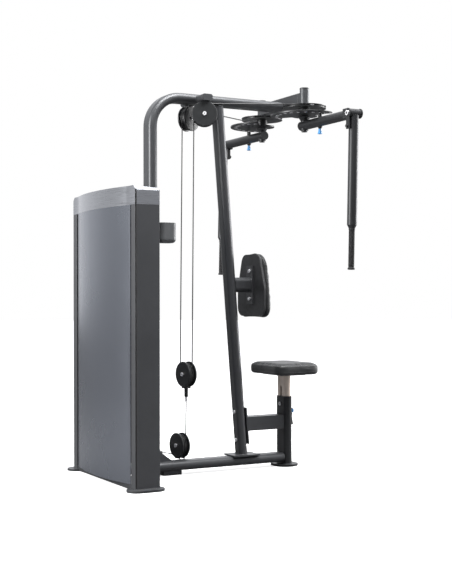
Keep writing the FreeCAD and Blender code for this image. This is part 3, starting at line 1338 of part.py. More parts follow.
def build():
    fill_sheet()
    places = pulleys()
    make_columns()
    make_front_shroud()
    make_rear_shroud()
    make_cap()
    make_tower_base()
    make_top_plate(places)
    make_guide_rods()
    make_bumpers()
    make_stack()
    make_beam()
    make_main_tube()
    make_upright()
    make_brace()
    make_seat_sleeve()
    make_seat_post()
    make_seat_pad()
    make_seat_lever()
    make_pad_arm()
    make_chest_pad()
    make_crossbar()
    make_bearings()
    make_hub_caps()
    for side, word in ((NEAR, "near"), (FAR, "far")):
        make_cam(side, word)
        make_hole_plate(side, word)
        make_arm(side, word)
        make_handle(side, word)
    make_pulley_sets(places)
    make_cables(places)
    make_bottle_holder()
    make_frame_bolts(places)
    doc.recompute()
    check_objects()


def write_steps():
    os.makedirs("parts", exist_ok=True)
    for thing in nodes:
        thing.Shape.exportStep(f"parts/{thing.Label}.step")
    print(len(nodes), "nodes")


build()
write_steps()
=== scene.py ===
"""Looks for a pectoral fly and rear delt machine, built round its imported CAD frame.

Metres, in the frame's own axes: +Z up, +X from the weight tower towards the seat, near_ on -Y.
"""

import json
import math

import bmesh
import bpy
from mathutils import Matrix, Vector, noise


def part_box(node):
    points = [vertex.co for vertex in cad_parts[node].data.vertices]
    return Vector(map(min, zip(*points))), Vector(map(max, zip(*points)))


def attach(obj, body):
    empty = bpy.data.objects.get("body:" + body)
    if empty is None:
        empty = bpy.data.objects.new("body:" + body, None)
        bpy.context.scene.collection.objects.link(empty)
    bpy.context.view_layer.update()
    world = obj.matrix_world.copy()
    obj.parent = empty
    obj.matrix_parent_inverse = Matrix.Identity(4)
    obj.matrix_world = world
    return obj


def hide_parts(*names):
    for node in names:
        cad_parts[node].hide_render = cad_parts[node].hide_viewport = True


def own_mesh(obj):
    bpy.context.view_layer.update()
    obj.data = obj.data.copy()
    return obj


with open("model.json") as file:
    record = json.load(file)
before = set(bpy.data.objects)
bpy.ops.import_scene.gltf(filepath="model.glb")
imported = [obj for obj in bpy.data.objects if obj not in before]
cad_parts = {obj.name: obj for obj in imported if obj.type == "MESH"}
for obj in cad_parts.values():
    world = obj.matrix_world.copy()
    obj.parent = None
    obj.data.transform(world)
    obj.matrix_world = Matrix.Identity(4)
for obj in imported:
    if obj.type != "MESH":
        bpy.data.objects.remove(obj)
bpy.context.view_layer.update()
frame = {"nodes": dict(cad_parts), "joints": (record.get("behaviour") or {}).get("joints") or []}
nodes = frame["nodes"]
scene = bpy.context.scene
MM = 0.001
NEAR, FAR = -1, 1
SIDES = (("near", NEAR), ("far", FAR))
UP = Vector((0, 0, 1))
DOWN = Vector((0, 0, -1))


# ---------------------------------------------------------------- materials

class Recipe:
    """A node tree under construction, with the few links that every finish needs."""

    def __init__(self, name, roughness, metallic=0.0):
        self.material = bpy.data.materials.new(name)
        self.material.use_nodes = True
        self.tree = self.material.node_tree
        self.shader = self.tree.nodes["Principled BSDF"]
        self.shader.inputs["Roughness"].default_value = roughness
        self.shader.inputs["Metallic"].default_value = metallic
        self.place = self.add("ShaderNodeTexCoord").outputs["Object"]
        self.normal = None

    def add(self, kind, **values):
        node = self.tree.nodes.new(kind)
        for key, value in values.items():
            if hasattr(node, key):
                setattr(node, key, value)
            else:
                node.inputs[key.replace("_", " ").title()].default_value = value
        return node

    def link(self, output, socket):
        self.tree.links.new(output, socket)

    def stretched(self, scale):
        """Object coordinates scaled unevenly, for brushed or woven patterns."""
        mapping = self.add("ShaderNodeMapping")
        mapping.inputs["Scale"].default_value = scale
        self.link(self.place, mapping.inputs["Vector"])
        return mapping.outputs["Vector"]

    def noise(self, scale, detail=3.0, roughness=0.55, place=None):
        node = self.add("ShaderNodeTexNoise", scale=scale, detail=detail, roughness=roughness)
        self.link(place or self.place, node.inputs["Vector"])
        return node.outputs["Fac"]

    def cells(self, scale, feature="F1"):
        node = self.add("ShaderNodeTexVoronoi", scale=scale)
        node.feature = feature
        self.link(self.place, node.inputs["Vector"])
        return node.outputs["Distance"]

    def spread(self, factor, low, high, from_low=0.3, from_high=0.7):
        """The factor's middle range mapped onto low..high."""
        node = self.add("ShaderNodeMapRange")
        for key, value in (("From Min", from_low), ("From Max", from_high), ("To Min", low),
                           ("To Max", high)):
            node.inputs[key].default_value = value
        self.link(factor, node.inputs["Value"])
        return node.outputs["Result"]

    def colour(self, factor, dark, light, low=0.3, high=0.7):
        ramp = self.add("ShaderNodeValToRGB")
        first, last = ramp.color_ramp.elements
        first.position, first.color = low, (*dark, 1)
        last.position, last.color = high, (*light, 1)
        self.link(factor, ramp.inputs["Fac"])
        self.link(ramp.outputs["Color"], self.shader.inputs["Base Color"])

    def rough(self, factor, low, high):
        self.link(self.spread(factor, low, high), self.shader.inputs["Roughness"])

    def bump(self, height, strength, depth):
        node = self.add("ShaderNodeBump")
        node.inputs["Strength"].default_value = strength
        node.inputs["Distance"].default_value = depth
        self.link(height, node.inputs["Height"])
        if self.normal is not None:
            self.link(self.normal, node.inputs["Normal"])
        self.normal = node.outputs["Normal"]
        self.link(self.normal, self.shader.inputs["Normal"])


def tone(colour, factor):
    return tuple(channel * factor for channel in colour)


def powder_coat(name, colour, roughness=0.40, metallic=0.35, grain=1100, wear=0.05, peel=0.15):
    """Powder coat: fine orange peel, slight metallic sparkle and faint handling marks."""
    made = Recipe(name, roughness, metallic)
    made.colour(made.noise(6, 3.0), tone(colour, 1 - wear), tone(colour, 1 + wear))
    made.rough(made.noise(4, 2.0), roughness - 0.6 * wear, roughness + 0.6 * wear)
    made.bump(made.noise(grain, 2.0), peel, 0.06 * MM)
    made.shader.inputs["Coat Weight"].default_value = 0.10
    made.shader.inputs["Coat Roughness"].default_value = 0.3
    return made.material


def brushed_coat(name, colour):
    """Clear-coated silver paint with fine level streaks."""
    made = Recipe(name, 0.3, 0.8)
    streaks = made.noise(1.0, 3.0, place=made.stretched((9, 9, 420)))
    made.colour(streaks, tone(colour, 0.90), tone(colour, 1.08))
    made.rough(streaks, 0.26, 0.34)
    made.bump(streaks, 0.05, 0.03 * MM)
    made.shader.inputs["Coat Weight"].default_value = 0.15
    return made.material


def moulded(name, colour, roughness=0.5, grain=700, coat=0.0):
    """Moulded plastic: a fine spark-eroded grain and slight flow marks."""
    made = Recipe(name, roughness)
    made.colour(made.noise(35, 4.0), tone(colour, 0.88), tone(colour, 1.12))
    made.rough(made.noise(60, 3.0), roughness - 0.06, roughness + 0.06)
    made.bump(made.noise(grain, 2.0), 0.2, 0.08 * MM)
    made.shader.inputs["Coat Weight"].default_value = coat
    return made.material


def plated(name, colour, roughness=0.28, stretch=(400, 400, 30), metallic=1.0):
    """Bright metal with fine drawn lines."""
    made = Recipe(name, roughness, metallic)
    made.colour(made.noise(25, 4.0), tone(colour, 0.86), colour)
    drawn = made.noise(1.0, 2.0, place=made.stretched(stretch))
    made.rough(drawn, roughness - 0.08, roughness + 0.08)
    made.bump(drawn, 0.08, 0.02 * MM)
    return made.material


def vinyl(name, colour):
    """Upholstery vinyl: pebbled grain with soft creases, satin."""
    made = Recipe(name, 0.42)
    made.colour(made.noise(90, 4.0), tone(colour, 0.8), tone(colour, 1.25))
    pebbles = made.cells(620)
    made.rough(made.noise(18, 3.0), 0.45, 0.56)
    made.bump(made.noise(9, 4.0), 0.18, 1.2 * MM)
    made.bump(pebbles, 0.32, 0.25 * MM)
    made.bump(made.noise(1500, 2.0), 0.15, 0.06 * MM)
    made.shader.inputs["Sheen Weight"].default_value = 0.08
    return made.material


def rubber(name, colour, roughness=0.72):
    made = Recipe(name, roughness)
    made.colour(made.noise(50, 4.0), tone(colour, 0.75), tone(colour, 1.3))
    made.rough(made.noise(80, 3.0), roughness - 0.08, roughness + 0.08)
    made.bump(made.noise(900, 2.0), 0.3, 0.12 * MM)
    return made.material


def cast_enamel(name, colour):
    """Enamel over a cast surface, with the casting's low ripples."""
    made = Recipe(name, 0.45)
    made.colour(made.noise(40, 5.0), tone(colour, 0.8), tone(colour, 1.2))
    made.rough(made.noise(30, 3.0), 0.38, 0.55)
    made.bump(made.noise(260, 4.0), 0.35, 0.25 * MM)
    return made.material


def cable_sheath(name, colour):
    """Nylon-coated steel cable, the strands' twist just showing through."""
    made = Recipe(name, 0.32)
    made.colour(made.noise(120, 3.0), tone(colour, 0.8), tone(colour, 1.2))
    wave = made.add("ShaderNodeTexWave", scale=140.0, distortion=0.4)
    wave.bands_direction = "DIAGONAL"
    made.link(made.place, wave.inputs["Vector"])
    made.bump(wave.outputs["Fac"], 0.12, 0.08 * MM)
    made.shader.inputs["Coat Weight"].default_value = 0.1
    return made.material


FRAME = powder_coat("charcoal_powder_coat", (0.056, 0.058, 0.062))
COLUMN = powder_coat("column_powder_coat", (0.068, 0.070, 0.075), roughness=0.42)
BLACK_TUBE = powder_coat("black_tube_coat", (0.025, 0.026, 0.028), roughness=0.44)
PANEL = powder_coat("panel_satin_coat", (0.200, 0.214, 0.245), roughness=0.27, metallic=0.78, grain=1600,
                    wear=0.015, peel=0.04)
CAP = brushed_coat("cap_silver_coat", (0.34, 0.35, 0.375))
BLACK_STEEL = powder_coat("black_powder_coat", (0.015, 0.016, 0.017), roughness=0.36,
                          metallic=0.1)
NYLON = moulded("black_nylon", (0.020, 0.021, 0.022), roughness=0.42)
GUARD = moulded("guard_plastic", (0.018, 0.019, 0.020), roughness=0.36, grain=900)
BUSH = plated("bright_bush", (0.92, 0.92, 0.94), roughness=0.4, metallic=0.5)
ZINC = plated("zinc_plate", (0.90, 0.90, 0.92), roughness=0.42, metallic=0.6)
GROUND_STEEL = plated("ground_steel", (0.55, 0.56, 0.58), roughness=0.3)
CHROME = plated("chrome_plate", (0.86, 0.84, 0.81), roughness=0.12, stretch=(60, 60, 8))
# Seat post chrome: its warm pink-tan base colour is a painted reflection of a warm surface.
POST_WARM_REFLECTION = plated("chrome_painted_warm_reflection", (0.93, 0.79, 0.68), roughness=0.4, stretch=(300, 300, 10),
              metallic=0.2)
CAST = cast_enamel("plate_enamel", (0.035, 0.036, 0.038))
RUBBER = rubber("black_rubber", (0.009, 0.009, 0.010))
VINYL = vinyl("pad_vinyl", (0.015, 0.016, 0.017))
BACKING = moulded("pad_backing_board", (0.034, 0.035, 0.037), roughness=0.55, grain=420)
HOLDER = moulded("holder_plastic", (0.095, 0.098, 0.102), roughness=0.42, coat=0.1)
CABLE = cable_sheath("cable_sheath", (0.022, 0.022, 0.023))
BLUE = moulded("sky_blue_plastic", (0.10, 0.33, 0.68), roughness=0.3, coat=0.5)
# Near-black painted shade for recesses: the tower's corner rebate and the bolt sockets.
PAINTED_SHADE = moulded("seam_shadow", (0.008, 0.008, 0.009), roughness=0.8)
# Real stitching thread, its light grey a painted highlight along the stitch rows.
THREAD_HIGHLIGHT = rubber("thread_painted_highlight", (0.42, 0.42, 0.43), roughness=0.5)


# ---------------------------------------------------------------- dressing the CAD nodes

def dress(name, *materials, bevel=0.8, segments=2, choose=None):
    """Materials and softened edges on a CAD node; choose gives each face's material by its centre."""
    piece = nodes[name]
    piece.data.materials.clear()
    for material in materials:
        piece.data.materials.append(material)
    for face in piece.data.polygons:
        face.material_index = choose(face.center, face.normal) if choose else 0
    soften(piece, bevel, segments)


def soften(piece, bevel, segments=2):
    """Join the split corners, round the sharp edges a little and shade by angle."""
    weld = piece.modifiers.new("weld", "WELD")
    weld.merge_threshold = 0.01 * MM
    if bevel:
        round_off = piece.modifiers.new("bevel", "BEVEL")
        round_off.width = bevel * MM
        round_off.segments = segments
        round_off.limit_method = "ANGLE"
        round_off.angle_limit = math.radians(32)
    for face in piece.data.polygons:
        face.use_smooth = True
    shade = piece.modifiers.new("normals", "WEIGHTED_NORMAL")
    shade.keep_sharp = False


def dress_frame():
    for name in ("base_beam", "tower_base", "main_tube", "upright", "seat_brace", "hub_crossbar",
                 "pad_arm", "top_pulley_hanger", "tower_top_plate"):
        dress(name, FRAME, bevel=1.2)
    # The rebate faces in the columns and in the cap take the painted shade.
    dress("tower_columns", COLUMN, PAINTED_SHADE, bevel=1.5, choose=column_material)
    dress("seat_sleeve", BLACK_TUBE, bevel=1.0)
    dress("front_shroud", PANEL, bevel=0.6)
    dress("rear_shroud", PANEL, bevel=0.5)
    dress("tower_cap", CAP, PAINTED_SHADE, bevel=2.4, segments=3, choose=column_material)
    dress("guide_rods", CHROME, bevel=0.5)
    dress("stack_bumpers", RUBBER, bevel=2.0)
    for name in ("resting_plates", "lifted_plates"):
        dress(name, CAST, bevel=1.5)
    dress("stack_head", CAST, CHROME, bevel=1.2, choose=selector_material)
    dress("selector_pin", GROUND_STEEL, NYLON, bevel=1.0, choose=selector_pin_material)
    dress("chest_pad_board", BACKING, bevel=2.0, segments=3)
    dress("bottle_holder", HOLDER, bevel=1.5, segments=3)
    dress("hub_bearings", GROUND_STEEL, bevel=0.4)
    dress("hub_caps", NYLON, bevel=0.8)
    dress("frame_bolts", ZINC, bevel=0.8)
    dress("pulley_mounts", FRAME, GUARD, bevel=0.8, choose=guard_material)
    dress("seat_post", POST_WARM_REFLECTION, BLACK_STEEL, bevel=0.6, choose=seat_post_material)
    dress("seat_lever", NYLON, BLUE, bevel=1.2, choose=lever_material)
    dress("seat_lock_pin", GROUND_STEEL, bevel=0.8)
    dress("floating_yoke", BLACK_STEEL, GUARD, ZINC, bevel=0.8, choose=yoke_material)
    for name in [each for each in nodes if each.endswith("_sheave")]:
        dress(name, NYLON, bevel=0.8)
    for word, _ in SIDES:
        dress(f"{word}_cam", BLACK_STEEL, bevel=0.8)
        dress(f"{word}_hole_plate", BLACK_STEEL, bevel=0.6)
        dress(f"{word}_arm", BLACK_TUBE, bevel=1.0)
        dress(f"{word}_arm_fittings", NYLON, ZINC, RUBBER, bevel=0.7, choose=fitting_material)
        dress(f"{word}_handle", BLACK_TUBE, bevel=1.0)


def column_material(centre, normal):
    """Near-black on the faces inside the rebate down the tower's front outer corner: painted shade in the
    recess.
    """
    low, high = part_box("tower_columns")
    depth = 7 * MM
    inside_front = centre.x < low.x + depth and centre.x > low.x + 0.5 * MM
    inside_side = abs(centre.y) > high.y - depth and abs(centre.y) < high.y - 0.5 * MM
    faces_out = normal.x < -0.9 or abs(normal.y) > 0.9
    return 1 if inside_side and faces_out and centre.x < low.x + depth and (
        inside_front or normal.x < -0.9) and centre.x > low.x - 1 * MM else 0


def selector_material(centre, _):
    """The selector rod is bright; the head plate is enamelled."""
    low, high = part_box("stack_head")
    middle_x = (low.x + high.x) / 2
    return 1 if math.hypot(centre.x - middle_x, centre.y) < 12 * MM else 0


def selector_pin_material(centre, _):
    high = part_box("selector_pin")[1]
    return 1 if centre.x > high.x - 27 * MM else 0


def guard_material(centre, _):
    """Straps and brackets are painted steel; the round guards are moulded."""
    for word in ("near_top", "far_top", "lower"):
        middle, axis = PULLEYS[word]
        offset = centre - middle
        level = abs(offset.dot(axis))
        if offset.length < 72 * MM and level > 15.9 * MM:
            return 1
    return 0


def yoke_material(centre, _):
    middle, axis = PULLEYS["floating"]
    offset = centre - middle
    level = abs(offset.dot(axis))
    if offset.length < 72 * MM and 15.9 * MM < level < 24.1 * MM:
        return 1
    return 2 if level > 24.1 * MM and offset.length < 34 * MM else 0


def seat_post_material(centre, _):
    """The sliding post is chromed, its warm pink-tan base colour a painted reflection; the plate under the
    cushion is black.
    """
    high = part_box("seat_post")[1]
    return 1 if centre.z > high.z - 6.5 * MM else 0


def lever_material(centre, _):
    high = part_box("seat_lever")[1]
    hub = Vector((high.x - 12 * MM, 0, high.z - 13 * MM))
    return 1 if math.hypot(centre.x - hub.x, centre.z - hub.z) < 13.4 * MM else 0


def fitting_material(centre, _):
    """Pin guide black, axle bolt bright, stop buffer rubber."""
    reach = abs(centre.y) - abs(HUB_Y)
    if reach < 250 * MM:
        return 0
    return 2 if centre.z < ARM_Z - 40 * MM else 1


# ---------------------------------------------------------------- places read from the frame

JOINTS = {joint["name"]: joint for joint in frame["joints"]}
PULLEYS = {}
for word in ("near_top", "far_top", "floating", "lower", "corner", "tower_foot", "head_outer",
             "head_inner"):
    spin = JOINTS[f"{word}_spin"]
    PULLEYS[word] = (Vector(spin["pos_m"]), Vector(spin["axis"]).normalized())
HUB_X = JOINTS["near_press"]["pos_m"][0]
HUB_Y = abs(JOINTS["near_press"]["pos_m"][1])
ARM_Z = JOINTS["near_adjust"]["pos_m"][2]
GROOVE = 55 * MM
CABLE_HALF = 3 * MM
CAM_CABLE = 108 * MM
HOLE_RING = 0.15
PAD_MIDDLE, PAD_BOLT_GAP = 0.995, 0.075
SLEEVE_FACE, GUIDE_BOLT_Z = 0.469, 0.340
SOCKET = 3 * MM


# ---------------------------------------------------------------- mesh helpers

def new_piece(name, mesh, body, slot, *materials, replaces=(), smooth=True):
    piece = bpy.data.objects.new(name, mesh)
    scene.collection.objects.link(piece)
    for material in materials:
        mesh.materials.append(material)
    if smooth:
        for face in mesh.polygons:
            face.use_smooth = True
    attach(piece, body)
    if replaces:
        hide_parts(*replaces)
    return piece


def mesh_of(work, name):
    bmesh.ops.recalc_face_normals(work, faces=work.faces)
    mesh = bpy.data.meshes.new(name)
    work.to_mesh(mesh)
    work.free()
    return mesh


def basis(axis):
    """Two directions square to the axis."""
    axis = axis.normalized()
    side = axis.orthogonal().normalized()
    return side, axis.cross(side)


def sweep(work, points, radius, count=12, closed=False):
    """A round tube through points in an open mesh, its rings carried along without twist."""
    total = len(points)
    tangents = []
    for index in range(total):
        before = points[index - 1] if index or closed else points[index]
        after = points[(index + 1) % total] if index < total - 1 or closed else points[index]
        tangents.append((after - before).normalized())
    side, _ = basis(tangents[0])
    rings = []
    for index, (point, tangent) in enumerate(zip(points, tangents)):
        side = (side - tangent * side.dot(tangent)).normalized()
        across = tangent.cross(side)
        size = radius[index] if isinstance(radius, (list, tuple)) else radius
        ring = []
        for step in range(count):
            angle = 2 * math.pi * step / count
            outward = side * math.cos(angle) + across * math.sin(angle)
            ring.append(work.verts.new(point + outward * size))
        rings.append(ring)
    pairs = list(zip(rings, rings[1:]))
    if closed:
        pairs.append((rings[-1], rings[0]))
    for low, high in pairs:
        for step in range(count):
            following = (step + 1) % count
            work.faces.new((low[step], low[following], high[following], high[step]))
    if not closed:
        work.faces.new(rings[0])
        work.faces.new(rings[-1])


def lathe(work, centre, axis, outline, count=40):
    """A turned solid: outline is (radius, height) pairs along the axis, closed at both ends."""
    side, across = basis(axis)
    rings = []
    for radius, height in outline:
        ring = []
        for step in range(count):
            angle = 2 * math.pi * step / count
            ring.append(work.verts.new(centre + axis * height
                                       + (side * math.cos(angle) + across * math.sin(angle)) * radius))
        rings.append(ring)
    for low, high in zip(rings, rings[1:]):
        for step in range(count):
            following = (step + 1) % count
            work.faces.new((low[step], low[following], high[following], high[step]))
    work.faces.new(rings[0])
    work.faces.new(rings[-1])


def turned(name, centre, axis, outline, body, slot, material, replaces=(), count=40):
    work = bmesh.new()
    lathe(work, centre, axis, outline, count)
    return new_piece(name, mesh_of(work, name), body, slot, material, replaces=replaces)


def arc_points(centre, first, second, count=14):
    """Points from centre + first to centre + second, the shorter way round."""
    angle = first.angle(second)
    turn = first.cross(second).normalized()
    return [centre + Matrix.Rotation(angle * step / count, 3, turn) @ first for step in range(count + 1)]


def tube(name, points, radius, body, slot, material, replaces=(), count=12):
    work = bmesh.new()
    sweep(work, points, radius, count)
    return new_piece(name, mesh_of(work, name), body, slot, material, replaces=replaces)


# ---------------------------------------------------------------- camera, light and stage

CAMERA_PLACE = Vector((-2.7735, -5.3133, 0.928))
CAMERA_HEADING = math.radians(28.6457)
CAMERA_PITCH = math.radians(0.2691)
CAMERA_ROLL = math.radians(-0.1245)
CAMERA_LENS = 69.35


def make_camera():
    data = bpy.data.cameras.new("camera")
    data.lens = CAMERA_LENS
    data.sensor_width = 36
    data.sensor_fit = "AUTO"
    data.clip_end = 60
    camera = bpy.data.objects.new("camera", data)
    scene.collection.objects.link(camera)
    turn = (Matrix.Rotation(-CAMERA_HEADING, 4, "Z") @ Matrix.Rotation(math.pi / 2 + CAMERA_PITCH, 4, "X")
            @ Matrix.Rotation(CAMERA_ROLL, 4, "Z"))
    camera.matrix_world = Matrix.Translation(CAMERA_PLACE) @ turn
    scene.camera = camera


def soft_box(name, place, target, size, power, colour=(1, 1, 1)):
    data = bpy.data.lights.new(name, "AREA")
    data.shape = "RECTANGLE"
    data.size, data.size_y = size
    data.energy = power
    data.color = colour
    light = bpy.data.objects.new(name, data)
    scene.collection.objects.link(light)
    light.location = place
    light.rotation_euler = (Vector(target) - Vector(place)).to_track_quat("-Z", "Y").to_euler()


def make_light():
    """A bright far side, a strong top light, and darkness behind the viewer."""
    world = bpy.data.worlds.new("studio")
    scene.world = world
    world.use_nodes = True
    tree = world.node_tree
    sky = tree.nodes["Background"]
    place = tree.nodes.new("ShaderNodeTexCoord")
    towards = tree.nodes.new("ShaderNodeVectorMath")
    towards.operation = "DOT_PRODUCT"
    towards.inputs[1].default_value = (-0.86, -0.49, -0.10)
    tree.links.new(place.outputs["Generated"], towards.inputs[0])
    halved = tree.nodes.new("ShaderNodeMath")
    halved.operation = "MULTIPLY_ADD"
    halved.inputs[1].default_value = 0.5
    halved.inputs[2].default_value = 0.5
    tree.links.new(towards.outputs["Value"], halved.inputs[0])
    ramp = tree.nodes.new("ShaderNodeValToRGB")
    first, last = ramp.color_ramp.elements
    first.position, first.color = 0.18, (1.22, 1.23, 1.27, 1)
    last.position, last.color = 0.95, (0.08, 0.08, 0.085, 1)
    middle = ramp.color_ramp.elements.new(0.60)
    middle.color = (0.27, 0.275, 0.285, 1)
    tree.links.new(halved.outputs["Value"], ramp.inputs["Fac"])
    rays = tree.nodes.new("ShaderNodeLightPath")
    shown = tree.nodes.new("ShaderNodeMix")
    shown.data_type = "RGBA"
    shown.inputs[7].default_value = (1, 1, 1, 1)
    tree.links.new(rays.outputs["Is Camera Ray"], shown.inputs[0])
    tree.links.new(ramp.outputs["Color"], shown.inputs[6])
    tree.links.new(shown.outputs[2], sky.inputs["Color"])
    soft_box("left_box", (-4.6, 0.2, 2.0), (-0.3, 0, 1.0), (1.6, 3.2), 330)
    soft_box("right_box", (3.9, -0.5, 2.0), (0.2, 0, 1.1), (1.0, 3.0), 150)
    soft_box("top_box", (0.1, -1.3, 4.6), (0, 0, 1.0), (3.0, 2.0), 360)
    scene.view_settings.view_transform = "Standard"


def make_stage():
    """A white floor with a faint contact shade, that gives little light back to the machine."""
    floor = Recipe("studio_floor", 0.8)
    floor.colour(floor.noise(2.0, 2.0), (0.86, 0.86, 0.86), (0.89, 0.89, 0.89))
    floor.shader.inputs["Emission Color"].default_value = (1, 1, 1, 1)
    floor.shader.inputs["Emission Strength"].default_value = 0.72
    dull = floor.add("ShaderNodeBsdfDiffuse")
    dull.inputs["Color"].default_value = (0.15, 0.15, 0.153, 1)
    rays = floor.add("ShaderNodeLightPath")
    mixed = floor.add("ShaderNodeMixShader")
    floor.link(rays.outputs["Is Camera Ray"], mixed.inputs["Fac"])
    floor.link(dull.outputs["BSDF"], mixed.inputs[1])
    floor.link(floor.shader.outputs["BSDF"], mixed.inputs[2])
    floor.link(mixed.outputs["Shader"], floor.tree.nodes["Material Output"].inputs["Surface"])
    work = bmesh.new()
    bmesh.ops.create_circle(work, cap_ends=True, radius=40, segments=96)
    mesh = bpy.data.meshes.new("floor")
    work.to_mesh(mesh)
    work.free()
    plane = bpy.data.objects.new("floor", mesh)
    plane.location.z = -0.5 * MM
    mesh.materials.append(floor.material)
    scene.collection.objects.link(plane)


# ---------------------------------------------------------------- cushions

def rounded_outline(corners, radius, steps=7):
    """A closed outline through corners, each rounded by an arc of about the radius."""
    count = len(corners)
    made = []
    for index, corner in enumerate(corners):
        before = corners[index - 1] - corner
        after = corners[(index + 1) % count] - corner
        reach = min(radius, before.length * 0.45, after.length * 0.45)
        start = corner + before.normalized() * reach
        end = corner + after.normalized() * reach
        for step in range(steps + 1):
            part = step / steps
            made.append(start.lerp(corner, part).lerp(corner.lerp(end, part), part))
    return made


def slab(outline, thickness, shrink):
    """A closed slab between z 0 and the thickness, its outline pulled in by shrink."""
    middle = sum(outline, Vector((0, 0))) / len(outline)
    pulled = []
    for point in outline:
        offset = point - middle
        pulled.append(middle + offset * max(0.2, 1 - shrink / offset.length))
    work = bmesh.new()
    low = [work.verts.new((point.x, point.y, 0)) for point in pulled]
    high = [work.verts.new((point.x, point.y, thickness)) for point in pulled]
    work.faces.new(low)
    work.faces.new(high)
    count = len(pulled)
    for index in range(count):
        following = (index + 1) % count
        work.faces.new((low[index], low[following], high[following], high[index]))
    bmesh.ops.recalc_face_normals(work, faces=work.faces)
    mesh = bpy.data.meshes.new("slab")
    work.to_mesh(mesh)
    work.free()
    return mesh


def apply_modifiers(piece):
    evaluated = piece.evaluated_get(bpy.context.evaluated_depsgraph_get())
    mesh = bpy.data.meshes.new_from_object(evaluated)
    piece.modifiers.clear()
    piece.data = mesh


def puff(piece, voxel, pressure, cap, flat_below):
    """Swell a closed slab as a stuffed cover: cloth under pressure, its travel capped, its back flat."""
    ease = piece.modifiers.new("ease", "BEVEL")
    ease.width = 15 * MM
    ease.segments = 4
    ease.limit_method = "ANGLE"
    ease.angle_limit = math.radians(60)
    remesh = piece.modifiers.new("remesh", "REMESH")
    remesh.mode = "VOXEL"
    remesh.voxel_size = voxel
    apply_modifiers(piece)
    smooth = piece.modifiers.new("smooth", "SMOOTH")
    smooth.factor = 0.6
    smooth.iterations = 14
    apply_modifiers(piece)
    start = [vertex.co.copy() for vertex in piece.data.vertices]
    cloth = piece.modifiers.new("cloth", "CLOTH")
    cloth.settings.use_pressure = True
    cloth.settings.uniform_pressure_force = pressure
    cloth.settings.quality = 6
    cloth.settings.mass = 0.3
    cloth.settings.tension_stiffness = 18
    cloth.settings.compression_stiffness = 18
    cloth.settings.bending_stiffness = 1.5
    cloth.settings.effector_weights.gravity = 0
    cloth.point_cache.frame_start = 1
    cloth.point_cache.frame_end = 20
    for step in range(1, 21):
        scene.frame_set(step)
    apply_modifiers(piece)
    scene.frame_set(1)
    for vertex, origin in zip(piece.data.vertices, start):
        move = vertex.co - origin
        if move.length > cap:
            move *= cap / move.length
        if origin.z < flat_below:
            move.z = 0
        vertex.co = origin + move
    divide = piece.modifiers.new("divide", "SUBSURF")
    divide.levels = 1
    divide.render_levels = 1
    apply_modifiers(piece)


def fit_between(mesh, low, high):
    """Scale the finished cushion into the box its CAD solid holds."""
    found_low = Vector([min(vertex.co[axis] for vertex in mesh.vertices) for axis in range(3)])
    found_high = Vector([max(vertex.co[axis] for vertex in mesh.vertices) for axis in range(3)])
    for vertex in mesh.vertices:
        for axis in range(3):
            share = (vertex.co[axis] - found_low[axis]) / (found_high[axis] - found_low[axis])
            vertex.co[axis] = low[axis] + share * (high[axis] - low[axis])


def cushion(name, outline, place, node, body, thickness, voxel=5 * MM, cap=9 * MM, pressure=4.0):
    """A stuffed pad. The outline lies in the pad's own plane; place carries it into the frame."""
    low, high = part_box(node)
    mesh = slab(outline, thickness - 8 * MM, 7 * MM)
    piece = bpy.data.objects.new(name, mesh)
    scene.collection.objects.link(piece)
    puff(piece, voxel, pressure, cap, 3 * MM)
    piece.data.transform(place)
    fit_between(piece.data, low, high)
    piece.data.materials.clear()
    piece.data.materials.append(VINYL)
    for face in piece.data.polygons:
        face.use_smooth = True
    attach(piece, body)
    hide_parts(node)
    return piece


def make_seat_pad():
    low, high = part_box("seat_pad")
    half_x = (high.x - low.x) / 2
    half_y = (high.y - low.y) / 2
    corners = [Vector((-half_x, -half_y)), Vector((half_x, -half_y)), Vector((half_x, half_y)),
               Vector((-half_x, half_y))]
    outline = rounded_outline(corners, 66 * MM, 9)
    middle = (low + high) / 2
    place = Matrix.Translation((middle.x, middle.y, low.z))
    pad = cushion("seat_cushion", outline, place, "seat_pad", "seat", high.z - low.z)
    across, along = Vector((1, 0, 0)), Vector((0, 1, 0))
    for name, level in (("seat_seam", low.z + 15 * MM), ("seat_welt", high.z - 19 * MM)):
        ring = ring_on(pad, Vector((middle.x, middle.y, level)), across, along)
        welt(name, ring, "seat")
    stitches("seat_stitches", ring_on(pad, Vector((middle.x, middle.y, high.z - 13 * MM)), across, along),
             middle, "seat")


def make_chest_pad():
    low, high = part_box("chest_pad")
    half_low = (high.y - low.y) / 2
    half_high = half_low * 0.64
    corners = [Vector((-half_low, low.z)), Vector((half_low, low.z)), Vector((half_low, low.z + 0.15)),
               Vector((half_high, high.z)), Vector((-half_high, high.z)), Vector((-half_low, low.z + 0.15))]
    outline = rounded_outline(corners, 74 * MM, 8)
    place = Matrix(((0, 0, 1, low.x), (1, 0, 0, 0), (0, 1, 0, 0), (0, 0, 0, 1)))
    pad = cushion("chest_cushion", outline, place, "chest_pad", "frame", high.x - low.x)
    middle = (low + high) / 2
    across, along = Vector((0, 1, 0)), Vector((0, 0, 1))
    ring = ring_on(pad, Vector((low.x + 9 * MM, 0, middle.z)), across, along)
    welt("chest_seam", ring, "frame")
    stitches("chest_stitches", ring_on(pad, Vector((high.x - 9 * MM, 0, middle.z)), across, along),
             middle, "frame")


def ring_on(pad, middle, across, along, count=180):
    """Points round a cushion's side in the plane of across and along, by rays cast inwards."""
    bpy.context.view_layer.update()
    inverse = pad.matrix_world.inverted()
    points = []
    for step in range(count):
        angle = 2 * math.pi * step / count
        heading = across * math.cos(angle) + along * math.sin(angle)
        hit, spot, _, _ = pad.ray_cast(inverse @ (middle + heading * 0.6),
                                       inverse.to_3x3() @ -heading)
        if hit:
            points.append(pad.matrix_world @ spot)
    return points


